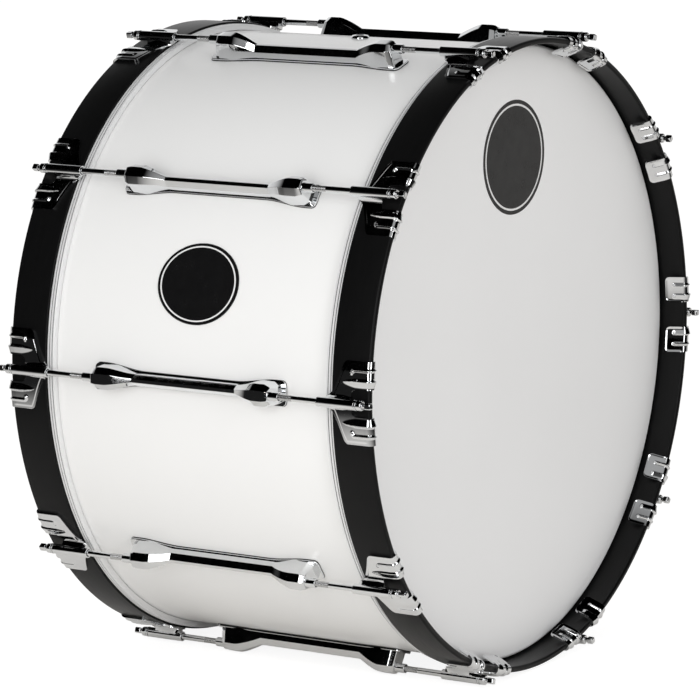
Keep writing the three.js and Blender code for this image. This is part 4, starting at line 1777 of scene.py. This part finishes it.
class DRUM_OT_heads(bpy.types.Operator):
    """Make the film and the flesh hoop of each head"""

    bl_idname = "drum.heads"
    bl_label = "Heads"

    def execute(self, context):
        drum = context.scene.drum
        settings = drum.head
        segments = drum.shell.segments
        crest = SHELL_RADIUS - drum.shell.crest_inset
        outline = film_outline(settings, crest)
        film = ring_mesh("film_form", outline, segments, head_film(settings))
        metal = brushed_aluminium(settings)
        dark = shared("black_rubber_and_groove_shade", black_rubber_and_groove_shade, drum.lug)
        bottom = FLESH_RADIUS - settings.groove

        # Faces on the grooves' floor get the gaskets' black: painted shade in the grooves
        def in_shaded_groove(middle):
            return int(abs(math.hypot(middle.x, middle.z) - bottom) < settings.groove / 3)

        outline = flesh_outline(settings)
        flesh = ring_mesh("flesh_hoop_form", outline, segments, metal, dark, finish=in_shaded_groove)
        for end, rear in ENDS:
            body = f"{end}_hoop_assembly"
            piece = place(f"{end}_head_film_form", film, rear=rear)
            finish_piece(piece, body, "head_film", f"{end}_head_film")
            piece = place(f"{end}_flesh_hoop_form", flesh, rear=rear)
            finish_piece(piece, body, "flesh_hoop_aluminium", f"{end}_flesh_hoop")
        return {"FINISHED"}


class DRUM_OT_hoops(bpy.types.Operator):
    """Make the two wooden counter hoops"""

    bl_idname = "drum.hoops"
    bl_label = "Counter Hoops"

    def execute(self, context):
        drum = context.scene.drum
        outline = hoop_outline(drum.hoop)
        lacquer = black_lacquer(drum.hoop)
        mesh = ring_mesh("hoop_form", outline, drum.shell.segments, lacquer)
        for end, rear in ENDS:
            piece = place(f"{end}_hoop_form", mesh, rear=rear)
            finish_piece(piece, f"{end}_hoop_assembly", "hoop_lacquer", f"{end}_hoop")
        return {"FINISHED"}


class DRUM_OT_claws(bpy.types.Operator):
    """Make the twenty double claws"""

    bl_idname = "drum.claws"
    bl_label = "Claws"

    def execute(self, context):
        mesh = claw_mesh(context.scene.drum)
        for end, rear in ENDS:
            for number, angle in stations():
                piece = place(f"{end}_claw_{number}_form", mesh, angle, rear)
                node = f"{end}_claw_{number}"
                finish_piece(piece, f"{end}_hoop_assembly", "chrome", node)
        return {"FINISHED"}


class DRUM_OT_rods(bpy.types.Operator):
    """Make the twenty tension rods"""

    bl_idname = "drum.rods"
    bl_label = "Tension Rods"

    def execute(self, context):
        mesh = rod_mesh(context.scene.drum)
        for end, rear in ENDS:
            for number, angle in stations():
                piece = place(f"{end}_rod_{number}_form", mesh, angle, rear)
                finish_piece(piece, f"{end}_rod_{number}", "chrome", f"{end}_rod_{number}")
        return {"FINISHED"}


class DRUM_OT_stage(bpy.types.Operator):
    """Make the camera, the floor and the light"""

    bl_idname = "drum.stage"
    bl_label = "Stage"

    def execute(self, context):
        settings = context.scene.drum.stage
        make_camera(settings)
        make_floor(settings)
        make_world(settings)
        make_lamp("side_lamp", settings.side_lamp, SIDE_LAMP_PLACE, settings)
        make_lamp("front_lamp", settings.front_lamp, FRONT_LAMP_PLACE, settings)
        return {"FINISHED"}


# In the order in which they run
OPERATORS = (
    DRUM_OT_stage,
    DRUM_OT_shell,
    DRUM_OT_lugs,
    DRUM_OT_vent,
    DRUM_OT_ovals,
    DRUM_OT_heads,
    DRUM_OT_hoops,
    DRUM_OT_claws,
    DRUM_OT_rods,
)


class DRUM_PT_panel(bpy.types.Panel):
    """Lists the operators that make the drum"""

    bl_idname = "DRUM_PT_panel"
    bl_label = "Marching Bass Drum"
    bl_space_type = "VIEW_3D"
    bl_region_type = "UI"
    bl_category = "Drum"

    def draw(self, context):
        column = self.layout.column()
        for operator in OPERATORS:
            column.operator(operator.bl_idname)


CLASSES = (
    DrumShellSettings,
    DrumHeadSettings,
    DrumHoopSettings,
    DrumLugSettings,
    DrumClawSettings,
    DrumRodSettings,
    DrumBadgeSettings,
    DrumStageSettings,
    DrumSettings,
    *OPERATORS,
    DRUM_PT_panel,
)


def register():
    """Adds the classes and the scene's settings."""
    for item in CLASSES:
        bpy.utils.register_class(item)
    bpy.types.Scene.drum = PointerProperty(type=DrumSettings)


def unregister():
    """Takes the scene's settings and the classes away."""
    del bpy.types.Scene.drum
    for item in reversed(CLASSES):
        bpy.utils.unregister_class(item)


def main():
    """Makes the whole drum and its stage."""
    register()
    bpy.context.scene.view_settings.view_transform = "Standard"
    for operator in OPERATORS:
        family, name = operator.bl_idname.split(".")
        getattr(getattr(bpy.ops, family), name)()


if __name__ == "__main__":
    main()
